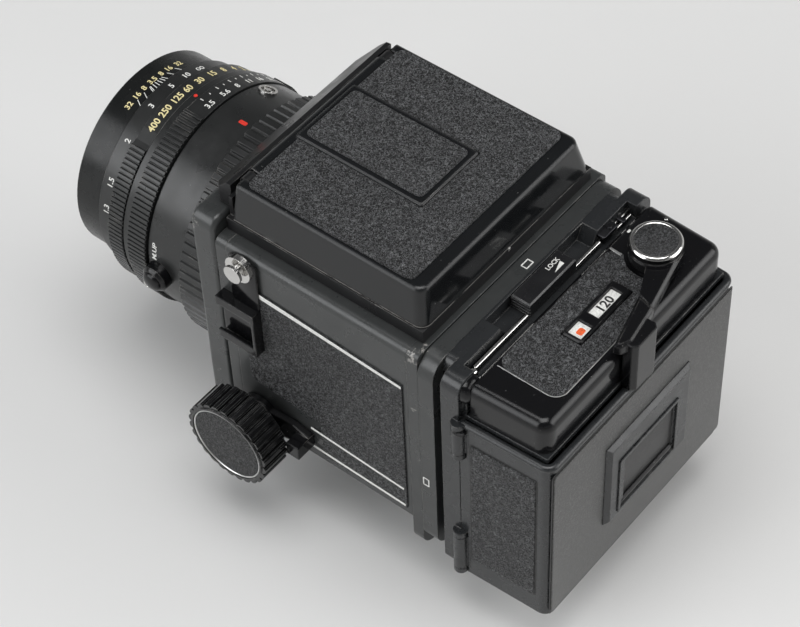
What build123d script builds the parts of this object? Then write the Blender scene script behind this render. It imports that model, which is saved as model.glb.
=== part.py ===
from build123d import *
import os
from math import cos, hypot, pi, radians, sin, sqrt

# A medium format single-lens reflex film camera with a revolving back, bellows
# focusing and a folding waist-level finder. Millimetres. The lens looks along
# -Y, +X is the photographer's left and +Z is up. The origin is the mouth of the
# tripod socket, in the plane that the camera stands on.

os.makedirs("parts", exist_ok=True)

# Driving sizes of the whole camera
body_half_width = 52.0
lens_axis_height = 74.4
body_above_axis = 50.0
finder_base_rise = 5.6
lid_rise = 14.5
body_front = -43.4
body_length = 86.6
side_foot_height = 35.0
base_half_width = 29.5
base_casting_height = 22.0
base_setback = 6.7

body_rear = body_front + body_length
body_top_height = lens_axis_height + body_above_axis
finder_base_height = body_top_height + finder_base_rise
lid_top_height = finder_base_height + lid_rise
base_front = body_front
base_rear = body_rear - base_setback

# Clearances
seam = 0.3
running = 0.06
slide_gap = 0.15
seat_gap = 0.02

# Mirror box
front_wall = 4.7
rear_wall = 4.6
roof_thickness = 5.1
chamber_wall = 11.0
chamber_floor = 40.0
lower_chamber_wall = 21.0
lower_chamber_height = 53.0
rear_flange_drop = 54.9
rear_flange_corner = 7.0
ridge_radius = 3.2
throat_wall = 12.5
throat_floor = 44.0
throat_corner = 5.0
bellows_recess_depth = 3.2
bellows_side_wall = 9.0
bellows_above_axis = 44.6
bellows_below_axis = 33.8
bellows_wall = 3.0
bellows_folds = 5
bellows_pleat_depth = 1.2
bellows_seat_corner = 1.0

chamber_half_width = body_half_width - chamber_wall
lower_chamber_half_width = body_half_width - lower_chamber_wall
throat_half_width = body_half_width - throat_wall
bellows_half_width = body_half_width - bellows_side_wall
inner_front = body_front + front_wall
inner_rear = body_rear - rear_wall
chamber_roof = body_top_height - roof_thickness
rear_flange_foot = lens_axis_height - rear_flange_drop
bellows_roof = lens_axis_height + bellows_above_axis
bellows_floor = lens_axis_height - bellows_below_axis

# Film and its opening
film_gate_width = 69.5
film_gate_height = 56.0
film_opening_half = 36.0

# Tripod socket
tripod_thread_radius = 3.175
tripod_thread_length = 8.0

# Focusing drive
focus_axle_setback = 13.8
focus_axle_height = 42.7
focus_axle_radius = 3.0
gear_module = 1.0
pinion_teeth = 11
pinion_width = 7.0
rack_inset = 15.0
rack_width = 7.0
rack_depth = 6.6
rack_end_gap = 2.6
gear_backlash = 0.5
knob_radius = 18.0
knob_width = 12.0
knob_shoulder = 8.0
knob_flutes = 26
knob_flute_depth = 1.3
knob_rim_round = 0.35
knob_face_radius = 15.6
knob_face_depth = 0.9
knob_hub_radius = 9.0
lock_lever_ring_radius = 8.0
lock_lever_thickness = 2.8
lock_tab_reach = 19.6
lock_tab_rise = 2.3
lock_tab_height = 6.0
lock_tab_width = 5.5

focus_axle_y = body_front + focus_axle_setback
rack_rear = inner_rear - rack_end_gap
rack_centre = body_half_width - rack_inset
knob_inner = body_half_width + knob_shoulder
knob_outer = knob_inner + knob_width
lock_tab_y = focus_axle_y + lock_tab_reach
lock_tab_middle = focus_axle_height + lock_tab_rise

# Side coverings, lugs and the accessory shoe
leather_thickness = 0.6
leather_front = body_front + 10.4
leather_rear = body_rear - 6.6
leather_top_front = body_top_height - 15.7
leather_top_rear = body_top_height - 19.0
leather_corner = 3.0
knob_plate_rear = focus_axle_y + 28.1
knob_plate_top = focus_axle_height + 15.9
knob_plate_drop = 2.2
leather_foot = side_foot_height + 3.4
strap_lug_y = body_front + 12.6
strap_lug_height = body_top_height - 4.8
strap_plate_half_width = 5.0
strap_plate_thickness = 1.0
strap_plate_above = 2.6
strap_plate_corner = 3.0
strap_washer_radius = 5.4
strap_washer_thickness = 2.4
strap_neck_radius = 2.0
strap_neck_length = 1.6
strap_head_radius = 3.6
strap_head_thickness = 1.2
shoe_setback = 1.4
shoe_length = 17.0
shoe_channel_width = 19.0
shoe_wall = 1.0
shoe_base_thickness = 1.4
shoe_channel_depth = 2.2
shoe_lip_thickness = 1.2
shoe_lip_width = 2.7
shoe_centre_height = lens_axis_height + 15.4
shoe_front = body_front + shoe_setback

# Front standard
standard_gap = 0.3
standard_thickness = 10.7
standard_rise = 6.6
standard_foot = 8.0
standard_foot_inset = 28.0
standard_wall = 3.0
standard_corner = 5.0
standard_pocket_gap = 1.5

standard_foot_half_width = body_half_width - standard_foot_inset
standard_back = body_front - standard_gap
standard_front = standard_back - standard_thickness
standard_top = body_top_height + standard_rise

# Lens: the length of each ring along the axis, from the camera to the rim
lens_seat_length = 3.3
lock_ring_length = 12.3
rear_barrel_length = 18.3
aperture_ring_length = 8.7
index_band_length = 3.6
shutter_ring_length = 7.0
distance_ring_length = 7.7
front_barrel_length = 12.4
lock_ring_end = standard_front - lens_seat_length
rear_barrel_end = lock_ring_end - lock_ring_length
aperture_ring_end = rear_barrel_end - rear_barrel_length
index_band_end = aperture_ring_end - aperture_ring_length
shutter_ring_end = index_band_end - index_band_length
distance_ring_end = shutter_ring_end - shutter_ring_length
front_barrel_end = distance_ring_end - distance_ring_length
rim_y = front_barrel_end - front_barrel_length

# Lens radii
lens_tube_radius = 36.0
lens_tube_wall = 5.0
filter_rim_wall = 1.2
filter_bore_depth = 5.5
front_barrel_wall = 3.7
rim_round = 0.5
distance_ring_wall = 5.2
shutter_ring_wall = 8.2
shutter_scale_step = 1.2
index_band_wall = 7.8
aperture_ring_wall = 9.4
aperture_scale_step = 0.8
rear_barrel_wall = 8.1
lock_ring_wall = 11.6
lens_seat_wall = 10.2
ring_gap = 0.25
fine_knurl_angle = 2.5
fine_knurl_depth = 0.7
coarse_knurl_pitch = 4.0
coarse_knurl_depth = 0.8
shutter_knurl_from = -196.0
shutter_knurl_to = 56.0
aperture_knurl_from = -212.0
aperture_knurl_to = 82.0
glass_edge = 4.0
name_ring_setback = 1.5
flash_socket_angle = 117.0
flash_socket_radius = 3.6
mirror_up_angle = -2.0
mirror_up_radius = 5.5
mirror_up_rise = 4.6
socket_depth = 2.5
shutter_housing_length = 9.0
shutter_opening_radius = 16.0
glass_seat_depth = 3.0
front_glass_bulge = 3.2
rear_glass_bulge = 2.0
flat_glass_bulge = 0.4
rim_radius = lens_tube_radius + front_barrel_wall
filter_bore_radius = rim_radius - filter_rim_wall
distance_ring_radius = lens_tube_radius + distance_ring_wall
shutter_ring_radius = lens_tube_radius + shutter_ring_wall
shutter_scale_radius = shutter_ring_radius - shutter_scale_step
index_band_radius = lens_tube_radius + index_band_wall
aperture_ring_radius = lens_tube_radius + aperture_ring_wall
aperture_scale_radius = aperture_ring_radius - aperture_scale_step
rear_barrel_radius = lens_tube_radius + rear_barrel_wall
lock_ring_radius = lens_tube_radius + lock_ring_wall
lens_seat_radius = lens_tube_radius + lens_seat_wall
lens_tube_bore = lens_tube_radius - lens_tube_wall
name_ring_inner = lens_tube_bore - name_ring_setback
flash_socket_y = aperture_ring_end + 5.5
mirror_up_y = aperture_ring_end + 5.8
shutter_plane = aperture_ring_end + 0.3

# Finder
finder_base_half_width = body_half_width - 6.0
finder_front_setback = 0.8
finder_rear_setback = 2.0
screen_half = body_half_width - 14.0
screen_thickness = 2.0
screen_ledge = 2.0
screen_frame_thickness = 1.6
screen_front = body_front + 5.6
screen_rear = body_rear - 5.9
lid_half_width = body_half_width - 9.4
lid_skirt_half_width = body_half_width - 6.2
lid_wall = 1.5
lid_corner = 4.0
lid_inner_corner = 1.0
lid_edge = 1.6
lid_hinge_radius = 2.7
lid_nose_half_width = lid_half_width - 9.0
lid_pin_radius = 0.9
lid_lug_width = 4.0
lid_lug_gap = 0.8
lid_rear = body_rear - 4.6
lid_skirt_rear = body_rear - 1.7
lid_hinge_height = lid_top_height - lid_hinge_radius
lid_hinge_y = body_front + 3.8
fairing_front = standard_front + 0.2
fairing_foot = standard_top + 1.0
fairing_corner = 7.0
leaf_hinge_x = body_half_width - 12.0
leaf_middle_gap = 3.5
leaf_thickness = 0.9
leaf_pin_radius = 0.5
leaf_barrel_radius = 0.9
leaf_reach = leaf_hinge_x - leaf_middle_gap
side_leaf_height = finder_base_height + 4.0
rear_leaf_height = finder_base_height + 1.6
rear_leaf_hinge_y = body_rear - 6.8
rear_leaf_reach = 33.5
magnifier_hinge_distance = 46.0
magnifier_length = 29.0
magnifier_half_width = 15.0
magnifier_glass_radius = 12.0
magnifier_height = lid_top_height - 5.9
panel_left = 14.0
panel_right = -17.0
panel_front = lid_hinge_y + 1.4
panel_length = 54.2
panel_rear = panel_front + panel_length
panel_rise = 1.5
lid_leather_half_width = lid_half_width - lid_edge
lid_leather_front = lid_hinge_y + 2.7
lid_leather_rear = lid_rear - 5.4
lid_leather_corner = 3.0

# Reflex mirror and light flap
mirror_pivot_setback = 3.0
mirror_pivot_drop = 6.3
mirror_reach = 2.7
mirror_side_gap = 3.5
mirror_glass_thickness = 1.6
mirror_frame_thickness = 1.4
mirror_axle_radius = 1.4
flap_pivot_setback = 1.4
flap_pivot_drop = 10.7
flap_foot_gap = 1.1
flap_thickness = 0.8
flap_axle_radius = 0.9
axle_bearing_depth = 3.0
mirror_pivot_y = inner_rear - mirror_pivot_setback
mirror_pivot_height = chamber_roof - mirror_pivot_drop
flap_pivot_y = inner_rear - flap_pivot_setback
flap_pivot_height = chamber_roof - flap_pivot_drop
mirror_half_width = chamber_half_width - mirror_side_gap
mirror_length = mirror_pivot_y - inner_front + mirror_reach
flap_half_width = mirror_half_width
flap_length = flap_pivot_height - chamber_floor - flap_foot_gap

# Controls on the right side
release_x = body_half_width - 5.0
release_height = side_foot_height - 14.5
release_radius = 6.2
release_length = 24.0
button_radius = 3.6
button_stem_radius = 2.0
button_travel = 2.5
collar_wall = 0.8
collar_length = 4.0
collar_grip = 3.4
lever_stud_radius = 2.5
lever_stud_length = 5.4
lever_thickness = 4.1
cocking_pivot_y = body_front + 51.4
cocking_pivot_height = lens_axis_height - 12.4
cocking_reach_y = 18.0
cocking_reach_z = 34.0
cocking_hub_radius = 8.5
cocking_tip_radius = 4.0
multiple_pivot_y = body_front + 71.4
multiple_pivot_height = lens_axis_height - 18.4
multiple_reach_y = -13.0
multiple_reach_z = -4.0
multiple_hub_radius = 4.6
multiple_tip_radius = 2.4
finger_pad_length = 5.5
release_front = standard_front + 0.4
release_rear = release_front + release_length

# Revolving adapter
adapter_thickness = 6.3
adapter_side_step = 0.4
adapter_half_height = 49.6
adapter_corner = 8.0
bearing_inset = 4.0
bearing_width = 2.6
bearing_lip = 1.1
bearing_depth = 2.7
adapter_half_width = body_half_width + adapter_side_step
bearing_outer_radius = adapter_half_width - bearing_inset
bearing_inner_radius = bearing_outer_radius - bearing_width
film_opening_corner_radius = bearing_inner_radius - bearing_lip
adapter_front = body_rear + seam
adapter_rear = adapter_front + adapter_thickness

# Film holder
holder_flange_thickness = 3.9
holder_flange_inset = 6.4
holder_front_thickness = 7.3
holder_side_step = 1.4
holder_taper = 1.4
holder_below_axis = 49.9
cover_above_axis = 31.2
cover_length = 36.0
cover_wall = 2.0
cover_corner = 4.0
shelf_thickness = 3.0
deck_above_axis = 49.8
deck_rear_setback = 4.0
deck_corner = 5.0
deck_channel_depth = 5.7
deck_channel_inset = 8.4
finger_recess_left = 25.8
finger_recess_right = -27.9
finger_recess_slope = 3.2
housing_rise = 14.5
housing_rear_setback = 3.4
housing_inset = 2.4
housing_rear_inset = 2.5
housing_corner = 5.0
housing_edge = 4.0
housing_front_edge = 1.4
hinge_barrel_radius = 2.6
hinge_pin_radius = 1.2
hinge_lug_length = 2.4
spool_axis_inset = 20.7
spool_axis_setback = 18.4
spool_flange_radius = 12.6
spool_core_radius = 5.6
spool_length = 63.6
spool_pin_radius = 2.0
dark_slide_thickness = 0.7
dark_slide_half_height = 31.0
dark_slide_end = 38.0
dark_slide_grip_reach = 3.6
insert_gap = 0.1
insert_wall = 1.6
roller_inset = 5.3
roller_radius = 2.4
lock_block_left = 12.4
lock_block_right = -13.2
lock_block_length = 8.0
lock_block_rise = 0.3
lower_block_rise = 4.0
lock_block_ribs = 4
lock_block_rib_pitch = 1.3
lock_tongue_depth = 2.2
lock_travel = 8.0
latch_drop = 4.4
latch_travel = 6.0
latch_half_height = 11.0

holder_half_width = body_half_width + holder_side_step
holder_rear_half_width = holder_half_width - holder_taper
holder_flange_half_width = holder_half_width - holder_flange_inset
housing_half_width = holder_half_width - housing_inset
housing_rear_half_width = holder_rear_half_width - housing_rear_inset
deck_channel_end = holder_half_width - deck_channel_inset
dark_slide_grip_x = holder_half_width + dark_slide_grip_reach
insert_half_width = holder_rear_half_width - cover_wall - insert_gap
roller_x = insert_half_width - roller_inset
spool_axis_x = insert_half_width - spool_axis_inset
holder_flange_rear = adapter_rear + holder_flange_thickness
holder_front_rear = holder_flange_rear + holder_front_thickness
holder_foot = lens_axis_height - holder_below_axis
cover_rear = holder_front_rear + cover_length
cover_top = lens_axis_height + cover_above_axis
cover_foot = holder_foot
housing_foot = cover_top + shelf_thickness
housing_top = housing_foot + housing_rise
housing_front = holder_front_rear + 1.6
housing_rear = cover_rear - housing_rear_setback
deck_height = lens_axis_height + deck_above_axis
deck_rear = holder_front_rear - deck_rear_setback
deck_channel_floor = deck_height - deck_channel_depth
holder_wall_rear = cover_rear - 7.0
hinge_axis_x = holder_half_width + 0.2
hinge_axis_y = holder_front_rear
spool_axis_y = holder_front_rear + spool_axis_setback
insert_rear = cover_rear - 7.5
roller_y = holder_front_rear + 5.4
lock_block_front = adapter_rear + 1.2
lock_block_rear = lock_block_front + lock_block_length
lock_tongue_y = lock_block_rear - 2.5
latch_y = cover_rear - 13.0
latch_height = lens_axis_height - latch_drop

# What lies on the film holder's top and back
top_leather_left = 37.8
top_leather_right = -25.0
top_leather_front = housing_front + 1.9
top_leather_rear = housing_rear - 4.3
top_leather_corner = 4.5
counter_left = 15.4
counter_right = -13.3
counter_front = housing_front + 11.0
counter_length = 8.1
counter_corner = 1.2
counter_rise = 1.4
counter_window_depth = 1.0
size_window = (-10.1, 3.3, 1.7, 6.2)
state_window = (7.5, 14.0, 1.3, 6.9)
memo_left = 22.0
memo_right = -26.0
memo_foot = lens_axis_height - 28.4
memo_height = 41.5
memo_depth = 2.5
memo_margins = (7.0, 9.0, 4.0, 11.5)
memo_recess = 1.0
counter_rear = counter_front + counter_length
memo_top = memo_foot + memo_height

# Advance lever
lever_axis_x = -spool_axis_x - 1.2
lever_axis_y = spool_axis_y - 0.7
lever_spindle_radius = 3.0
hub_radius = 9.4
hub_cap_radius = 8.7
hub_cap_thickness = 3.0
hub_rise = 8.5
lever_arm_thickness = 4.2
lever_arm_bevel = 1.0
lever_hook_drop = 15.9
lever_hook_depth = 5.0
hub_top = housing_top + hub_rise
lever_hook_foot = housing_top - lever_hook_drop


def block(x0, x1, y0, y1, z0, z1):
    """A box between six planes."""
    return Pos((x0 + x1) / 2, (y0 + y1) / 2, (z0 + z1) / 2) * Box(abs(x1 - x0), abs(y1 - y0), abs(z1 - z0))


def rod_x(radius, x0, x1, y, z):
    """A cylinder along X."""
    return Pos((x0 + x1) / 2, y, z) * Rot(0, 90, 0) * Cylinder(radius, abs(x1 - x0))


def rod_y(radius, y0, y1, x=0.0, z=lens_axis_height):
    """A cylinder along Y, on the lens axis unless a place is given."""
    return Pos(x, (y0 + y1) / 2, z) * Rot(90, 0, 0) * Cylinder(radius, abs(y1 - y0))


def rod_z(radius, x, y, z0, z1):
    """An upright cylinder."""
    return Pos(x, y, (z0 + z1) / 2) * Cylinder(radius, abs(z1 - z0))


def across_y(points, y0, y1):
    """An outline of (x, z) points carried along Y."""
    return extrude(Plane.XZ.offset(-y0) * Polygon(*points, align=None), amount=y1 - y0, dir=(0, 1, 0))


def across_x(points, x0, x1):
    """An outline of (y, z) points carried along X."""
    return extrude(Plane.YZ.offset(min(x0, x1)) * Polygon(*points, align=None), amount=abs(x1 - x0), dir=(1, 0, 0))


def across_z(points, z0, z1):
    """An outline of (x, y) points carried up Z."""
    return extrude(Plane.XY.offset(z0) * Polygon(*points, align=None), amount=z1 - z0, dir=(0, 0, 1))


def window_y(half_width, z0, z1, y0, y1, corner):
    """A rounded rectangle in the XZ plane carried along Y."""
    sketch = Pos(0, (z0 + z1) / 2) * RectangleRounded(2 * half_width, z1 - z0, corner)
    return extrude(Plane.XZ.offset(-y1) * sketch, amount=y1 - y0)


def plate_z(x0, x1, y0, y1, z0, z1, corner):
    """A flat plate with rounded corners in plan."""
    sketch = Pos((x0 + x1) / 2, (y0 + y1) / 2) * RectangleRounded(x1 - x0, y1 - y0, corner)
    return extrude(Plane.XY.offset(z0) * sketch, amount=z1 - z0)


def plate_x(x0, x1, y0, y1, z0, z1, corner):
    """An upright plate across X with rounded corners."""
    sketch = Pos((y0 + y1) / 2, (z0 + z1) / 2) * RectangleRounded(y1 - y0, z1 - z0, corner)
    return extrude(Plane.YZ.offset(x0) * sketch, amount=x1 - x0)


def turned(points):
    """A solid turned about the lens axis from (radius, y) points."""
    section = Pos(0, 0, lens_axis_height) * Polygon(*points, align=None)
    return revolve(section, axis=Axis((0, 0, lens_axis_height), (0, 1, 0)))


def ring_y(outer, inner, y0, y1, lip=0.0):
    """A ring about the lens axis with an optional bevel on its two outer edges."""
    points = [(inner, y0), (outer - lip, y0), (outer, y0 + lip), (outer, y1 - lip), (outer - lip, y1), (inner, y1)]
    if lip == 0:
        points = [(inner, y0), (outer, y0), (outer, y1), (inner, y1)]
    return turned(points)


def knurled_ring(outer, scale, inner, y0, y1, pitch_angle, start, stop):
    """A ring whose rim has ridges from start to stop degrees and is smooth elsewhere."""
    root = outer - fine_knurl_depth
    count = int((stop - start) / pitch_angle)
    smooth_span = 360.0 - (stop - start)
    smooth_steps = 16
    points = []
    for i in range(count):
        for share, radius in ((0.0, root), (0.14, outer), (0.70, outer), (0.84, root)):
            angle = radians(start + (i + share) * pitch_angle)
            points.append((radius * cos(angle), lens_axis_height + radius * sin(angle)))
    for i in range(smooth_steps + 1):
        angle = radians(stop + 0.5 + (smooth_span - 1.0) * i / smooth_steps)
        points.append((scale * cos(angle), lens_axis_height + scale * sin(angle)))
    rim = across_y(points, y0, y1)
    return rim - rod_y(inner, y0 - 1, y1 + 1)


def mirrored(shape):
    """The same shape on the other side of the camera."""
    return mirror(shape, about=Plane.YZ)


def save(shape, node):
    """Write one node as a STEP file."""
    export_step(shape, "parts/" + node + ".step")



def rack_top():
    """Height of the rack's pitch line, which the pinion's pitch circle touches."""
    return focus_axle_height - gear_module * pinion_teeth / 2


def chamfer_half_width(height):
    """Half the width of the body where its lower edges slope in at 45 degrees."""
    return body_half_width - (side_foot_height - height)


def body_outline():
    """Outline of the mirror box seen from the front, without its rounded top edges."""
    floor_half = chamfer_half_width(base_casting_height)
    return [
        (-floor_half, base_casting_height), (floor_half, base_casting_height),
        (body_half_width, side_foot_height), (body_half_width, body_top_height),
        (-body_half_width, body_top_height), (-body_half_width, side_foot_height),
    ]


def base_outline():
    """Outline of the base casting seen from the front."""
    wide = chamfer_half_width(base_casting_height)
    step = base_casting_height - (wide - base_half_width)
    return [
        (-base_half_width, 0), (base_half_width, 0), (base_half_width, step),
        (wide, base_casting_height), (-wide, base_casting_height), (-base_half_width, step),
    ]


# Mirror box and base

def body_slab(y0, y1):
    """A slice of the body's outline with its rounded top edges."""
    slab = across_y(body_outline(), y0, y1)
    return fillet(slab.edges().filter_by(Axis.Y).group_by(Axis.Z)[-1], ridge_radius)


def rack_channels(y0, y1):
    """The two slots that the focusing racks run in."""
    half = rack_width / 2 + slide_gap
    channel = block(rack_centre - half, rack_centre + half, y0, y1,
                    rack_top() - rack_depth - slide_gap, rack_top() + gear_module + slide_gap)
    return channel + mirrored(channel)


def make_front_frame():
    """The frame that closes the front of the mirror box and carries the bellows."""
    frame = body_slab(body_front, inner_front)
    frame -= window_y(throat_half_width, throat_floor, chamber_roof, body_front - 1, inner_front + 1, throat_corner)
    frame -= window_y(bellows_half_width + seam, bellows_floor - seam, bellows_roof + seam,
                      body_front - 1, body_front + bellows_recess_depth, bellows_seat_corner)
    return frame - rack_channels(body_front - 1, inner_front + 1)


def make_rear_flange():
    """The plate that closes the rear of the mirror box and carries the bearing ring."""
    flange = body_slab(inner_rear, body_rear)
    flange += window_y(body_half_width, rear_flange_foot, body_top_height, inner_rear, body_rear, rear_flange_corner)
    opening = block(-film_opening_half, film_opening_half, inner_rear - 1, body_rear + 1,
                    lens_axis_height - film_opening_half, lens_axis_height + film_opening_half)
    flange -= opening & rod_y(film_opening_corner_radius, inner_rear - 2, body_rear + 2)
    return flange + ring_y(bearing_outer_radius, bearing_inner_radius, body_rear - 1, adapter_front + bearing_depth - 0.2)


def make_mirror_box():
    box = body_slab(inner_front, inner_rear)
    gear_bay_rear = focus_axle_y + gear_radius() + front_wall
    box -= block(-chamber_half_width, chamber_half_width, inner_front - 1, inner_rear + 1,
                 lower_chamber_height, chamber_roof)
    box -= block(-lower_chamber_half_width, lower_chamber_half_width, inner_front - 1, gear_bay_rear + 1,
                 chamber_floor, lower_chamber_height + 1)
    box -= block(-chamber_half_width, chamber_half_width, gear_bay_rear, inner_rear + 1,
                 chamber_floor, lower_chamber_height + 1)
    box -= block(-screen_half, screen_half, screen_front + screen_ledge, screen_rear - screen_ledge,
                 chamber_roof - 1, body_top_height + 5)
    box -= block(-screen_half - screen_ledge, screen_half + screen_ledge, screen_front, screen_rear,
                 screen_seat(), body_top_height + 5)
    channel_half = rack_width / 2 + slide_gap
    box -= rack_channels(inner_front - 1, rack_rear + slide_gap)
    for side in (1, -1):
        centre = side * rack_centre
        box -= block(centre - channel_half, centre + channel_half, focus_axle_y - gear_radius() - seam,
                     focus_axle_y + gear_radius() + seam, rack_top(), focus_axle_height + gear_radius() + seam)
        for y, z, radius in ((mirror_pivot_y, mirror_pivot_height, mirror_axle_radius),
                             (flap_pivot_y, flap_pivot_height, flap_axle_radius)):
            box -= rod_x(radius + running, side * (chamber_half_width - 1),
                         side * (chamber_half_width + axle_bearing_depth), y, z)
    box -= rod_x(focus_axle_radius + running, -body_half_width - 1, body_half_width + 1,
                 focus_axle_y, focus_axle_height)
    return box + make_release_housing() + make_lever_studs()


def gear_radius():
    """Outside radius of the focusing pinion."""
    return gear_module * (pinion_teeth / 2 + 0.85)


def screen_seat():
    """Height of the ledge that the focusing screen lies on."""
    return body_top_height - screen_frame_thickness - screen_thickness


def make_base():
    base = across_y(base_outline(), base_front, base_rear)
    return base - rod_z(tripod_thread_radius, 0, 0, -1, tripod_thread_length)


# Side coverings, lugs and the accessory shoe

def side_leather_outline():
    """Outline of the side covering, cut away round the strap lug and the focusing knob."""
    lug_rear = strap_lug_y + strap_plate_half_width + seam
    return [
        (lug_rear, leather_top_front), (lug_rear, shoe_head()), (leather_front, shoe_head()),
        (leather_front, knob_plate_top), (knob_plate_rear, knob_plate_top - knob_plate_drop),
        (knob_plate_rear, leather_foot), (leather_rear, leather_foot), (leather_rear, leather_top_rear),
    ]


def make_side_leather(side):
    outer = body_half_width + leather_thickness
    covering = across_x(side_leather_outline(), body_half_width, outer)
    lower_front = covering.edges().filter_by(Axis.X).group_by(Axis.Y)[0].sort_by(Axis.Z)[0]
    covering = fillet(lower_front, leather_corner)
    if side > 0:
        return covering - block(body_half_width - 1, outer + 1, shoe_front - 1, shoe_front + shoe_length + 0.1,
                                shoe_foot() - 0.1, shoe_head() + 1)
    for y, z in ((cocking_pivot_y, cocking_pivot_height), (multiple_pivot_y, multiple_pivot_height)):
        covering -= rod_x(lever_stud_radius + 0.1, body_half_width - 1, outer + 1, y, z)
    return mirrored(covering)


def shoe_foot():
    """Height of the accessory shoe's lower edge."""
    return shoe_centre_height - shoe_channel_width / 2 - shoe_wall


def shoe_head():
    """Height of the accessory shoe's upper edge."""
    return shoe_centre_height + shoe_channel_width / 2 + shoe_wall


def make_strap_lug(side):
    """A headed stud and its washer on a long backing plate near the top front corner."""
    half = strap_plate_half_width
    washer = body_half_width + strap_plate_thickness
    neck = washer + strap_washer_thickness
    head = neck + strap_neck_length
    plate = plate_x(body_half_width, washer, strap_lug_y - half, strap_lug_y + half, shoe_head() + slide_gap,
                    strap_lug_height + strap_plate_above, strap_plate_corner)
    lug = plate + rod_x(strap_washer_radius, washer, neck, strap_lug_y, strap_lug_height)
    lug += rod_x(strap_neck_radius, neck, head, strap_lug_y, strap_lug_height)
    lug += rod_x(strap_head_radius, head, head + strap_head_thickness, strap_lug_y, strap_lug_height)
    return lug if side > 0 else mirrored(lug)


def make_accessory_shoe():
    """A channel for a flash foot: a base plate, two side walls with lips, and an end stop."""
    x0 = body_half_width
    x1 = x0 + shoe_base_thickness
    x2 = x1 + shoe_channel_depth
    x3 = x2 + shoe_lip_thickness
    y0, y1 = shoe_front, shoe_front + shoe_length
    z0, z1 = shoe_foot(), shoe_head()
    reach = shoe_wall + shoe_lip_width
    shoe = across_y([
        (x0, z0), (x3, z0), (x3, z0 + reach), (x2, z0 + reach), (x2, z0 + shoe_wall), (x1, z0 + shoe_wall),
        (x1, z1 - shoe_wall), (x2, z1 - shoe_wall), (x2, z1 - reach), (x3, z1 - reach), (x3, z1), (x0, z1)], y0, y1)
    return shoe + block(x1, x3, y1 - shoe_wall, y1, z0, z1)


# Focusing drive

def make_focus_axle():
    axle = rod_x(focus_axle_radius, -knob_inner, knob_inner, focus_axle_y, focus_axle_height)
    for side in (1, -1):
        axle += make_pinion(side * rack_centre)
    return axle


def make_pinion(centre):
    """Straight-flanked teeth round the axle, with one tooth space facing the rack."""
    outside = gear_radius()
    root = gear_module * (pinion_teeth / 2 - 1.15)
    half_at_root = (0.34 * gear_module * pi - gear_backlash / 4) / root
    half_at_tip = 0.13 * gear_module * pi / outside
    points = []
    for tooth in range(pinion_teeth):
        middle = -pi / 2 + (tooth + 0.5) * 2 * pi / pinion_teeth
        for radius, offset in ((root, -half_at_root), (outside, -half_at_tip),
                               (outside, half_at_tip), (root, half_at_root)):
            angle = middle + offset
            points.append((focus_axle_y + radius * cos(angle), focus_axle_height + radius * sin(angle)))
    return across_x(points, centre - pinion_width / 2, centre + pinion_width / 2)


def make_focus_rack(side):
    """A toothed rail that the pinion drives, fixed to the front standard."""
    pitch = pi * gear_module
    tooth_top = rack_top() + 0.85 * gear_module
    tooth_root = rack_top() - 1.15 * gear_module
    floor = rack_top() - rack_depth
    half_top = 0.13 * pitch
    half_root = 0.34 * pitch - gear_backlash / 4
    points = [(standard_back, floor), (rack_rear, floor), (rack_rear, tooth_root)]
    first = int((rack_rear - focus_axle_y) / pitch - 0.5)
    last = -int((focus_axle_y - standard_back) / pitch - 0.5)
    for tooth in range(first, last - 1, -1):
        middle = focus_axle_y + tooth * pitch
        points += [(middle + half_root, tooth_root), (middle + half_top, tooth_top),
                   (middle - half_top, tooth_top), (middle - half_root, tooth_root)]
    points.append((standard_back, tooth_root))
    centre = side * rack_centre
    return across_x(points, centre - rack_width / 2, centre + rack_width / 2)


def fluted_outline(radius, depth, count, softness):
    """Points (y, z) of a wheel about the origin, with rounded lobes between narrow flutes."""
    points = []
    for i in range(count):
        for share, inset in ((0.0, depth), (0.12, softness), (0.28, 0.0), (0.60, 0.0), (0.76, softness), (0.88, depth)):
            angle = 2 * pi * (i + share) / count
            points.append(((radius - inset) * cos(angle), (radius - inset) * sin(angle)))
    return points


def make_focus_knob(side):
    """A fluted knob with a recessed face and a smooth rim in front of the flutes."""
    points = [(focus_axle_y + y, focus_axle_height + z)
              for y, z in fluted_outline(knob_radius, knob_flute_depth, knob_flutes, knob_rim_round)]
    knob = across_x(points, knob_inner, knob_outer)
    knob += rod_x(knob_radius - knob_flute_depth - 0.4, knob_inner - 0.8, knob_outer + 0.5,
                  focus_axle_y, focus_axle_height)
    knob += rod_x(knob_hub_radius, body_half_width + lock_lever_thickness + 2 * seam, knob_inner,
                  focus_axle_y, focus_axle_height)
    knob -= rod_x(knob_face_radius, knob_outer - knob_face_depth, knob_outer + 2, focus_axle_y, focus_axle_height)
    knob -= rod_x(focus_axle_radius + seat_gap, body_half_width, knob_inner + 0.05, focus_axle_y, focus_axle_height)
    return knob if side > 0 else mirrored(knob)


def make_focus_lock_lever():
    """A ring round the focusing axle with a finger tab behind the knob."""
    inner = body_half_width + seam
    outer = inner + lock_lever_thickness
    tab_front, tab_rear = lock_tab_y - 1.0, lock_tab_y - 1.0 + lock_tab_width
    tab_foot, tab_head = lock_tab_middle - lock_tab_height / 2 - 1, lock_tab_middle + lock_tab_height / 2 - 1
    lever = rod_x(lock_lever_ring_radius, inner, outer, focus_axle_y, focus_axle_height)
    lever += across_x([
        (focus_axle_y, focus_axle_height + 5), (tab_front - 2, tab_head + 2), (tab_rear, tab_head),
        (tab_rear, tab_foot), (focus_axle_y, focus_axle_height - 6)], inner, outer)
    lever += block(inner, knob_inner + 1.0, tab_front, tab_rear, tab_foot, tab_head)
    return lever - rod_x(focus_axle_radius + running, inner - 1, outer + 1, focus_axle_y, focus_axle_height)


# Front standard and bellows

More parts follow.
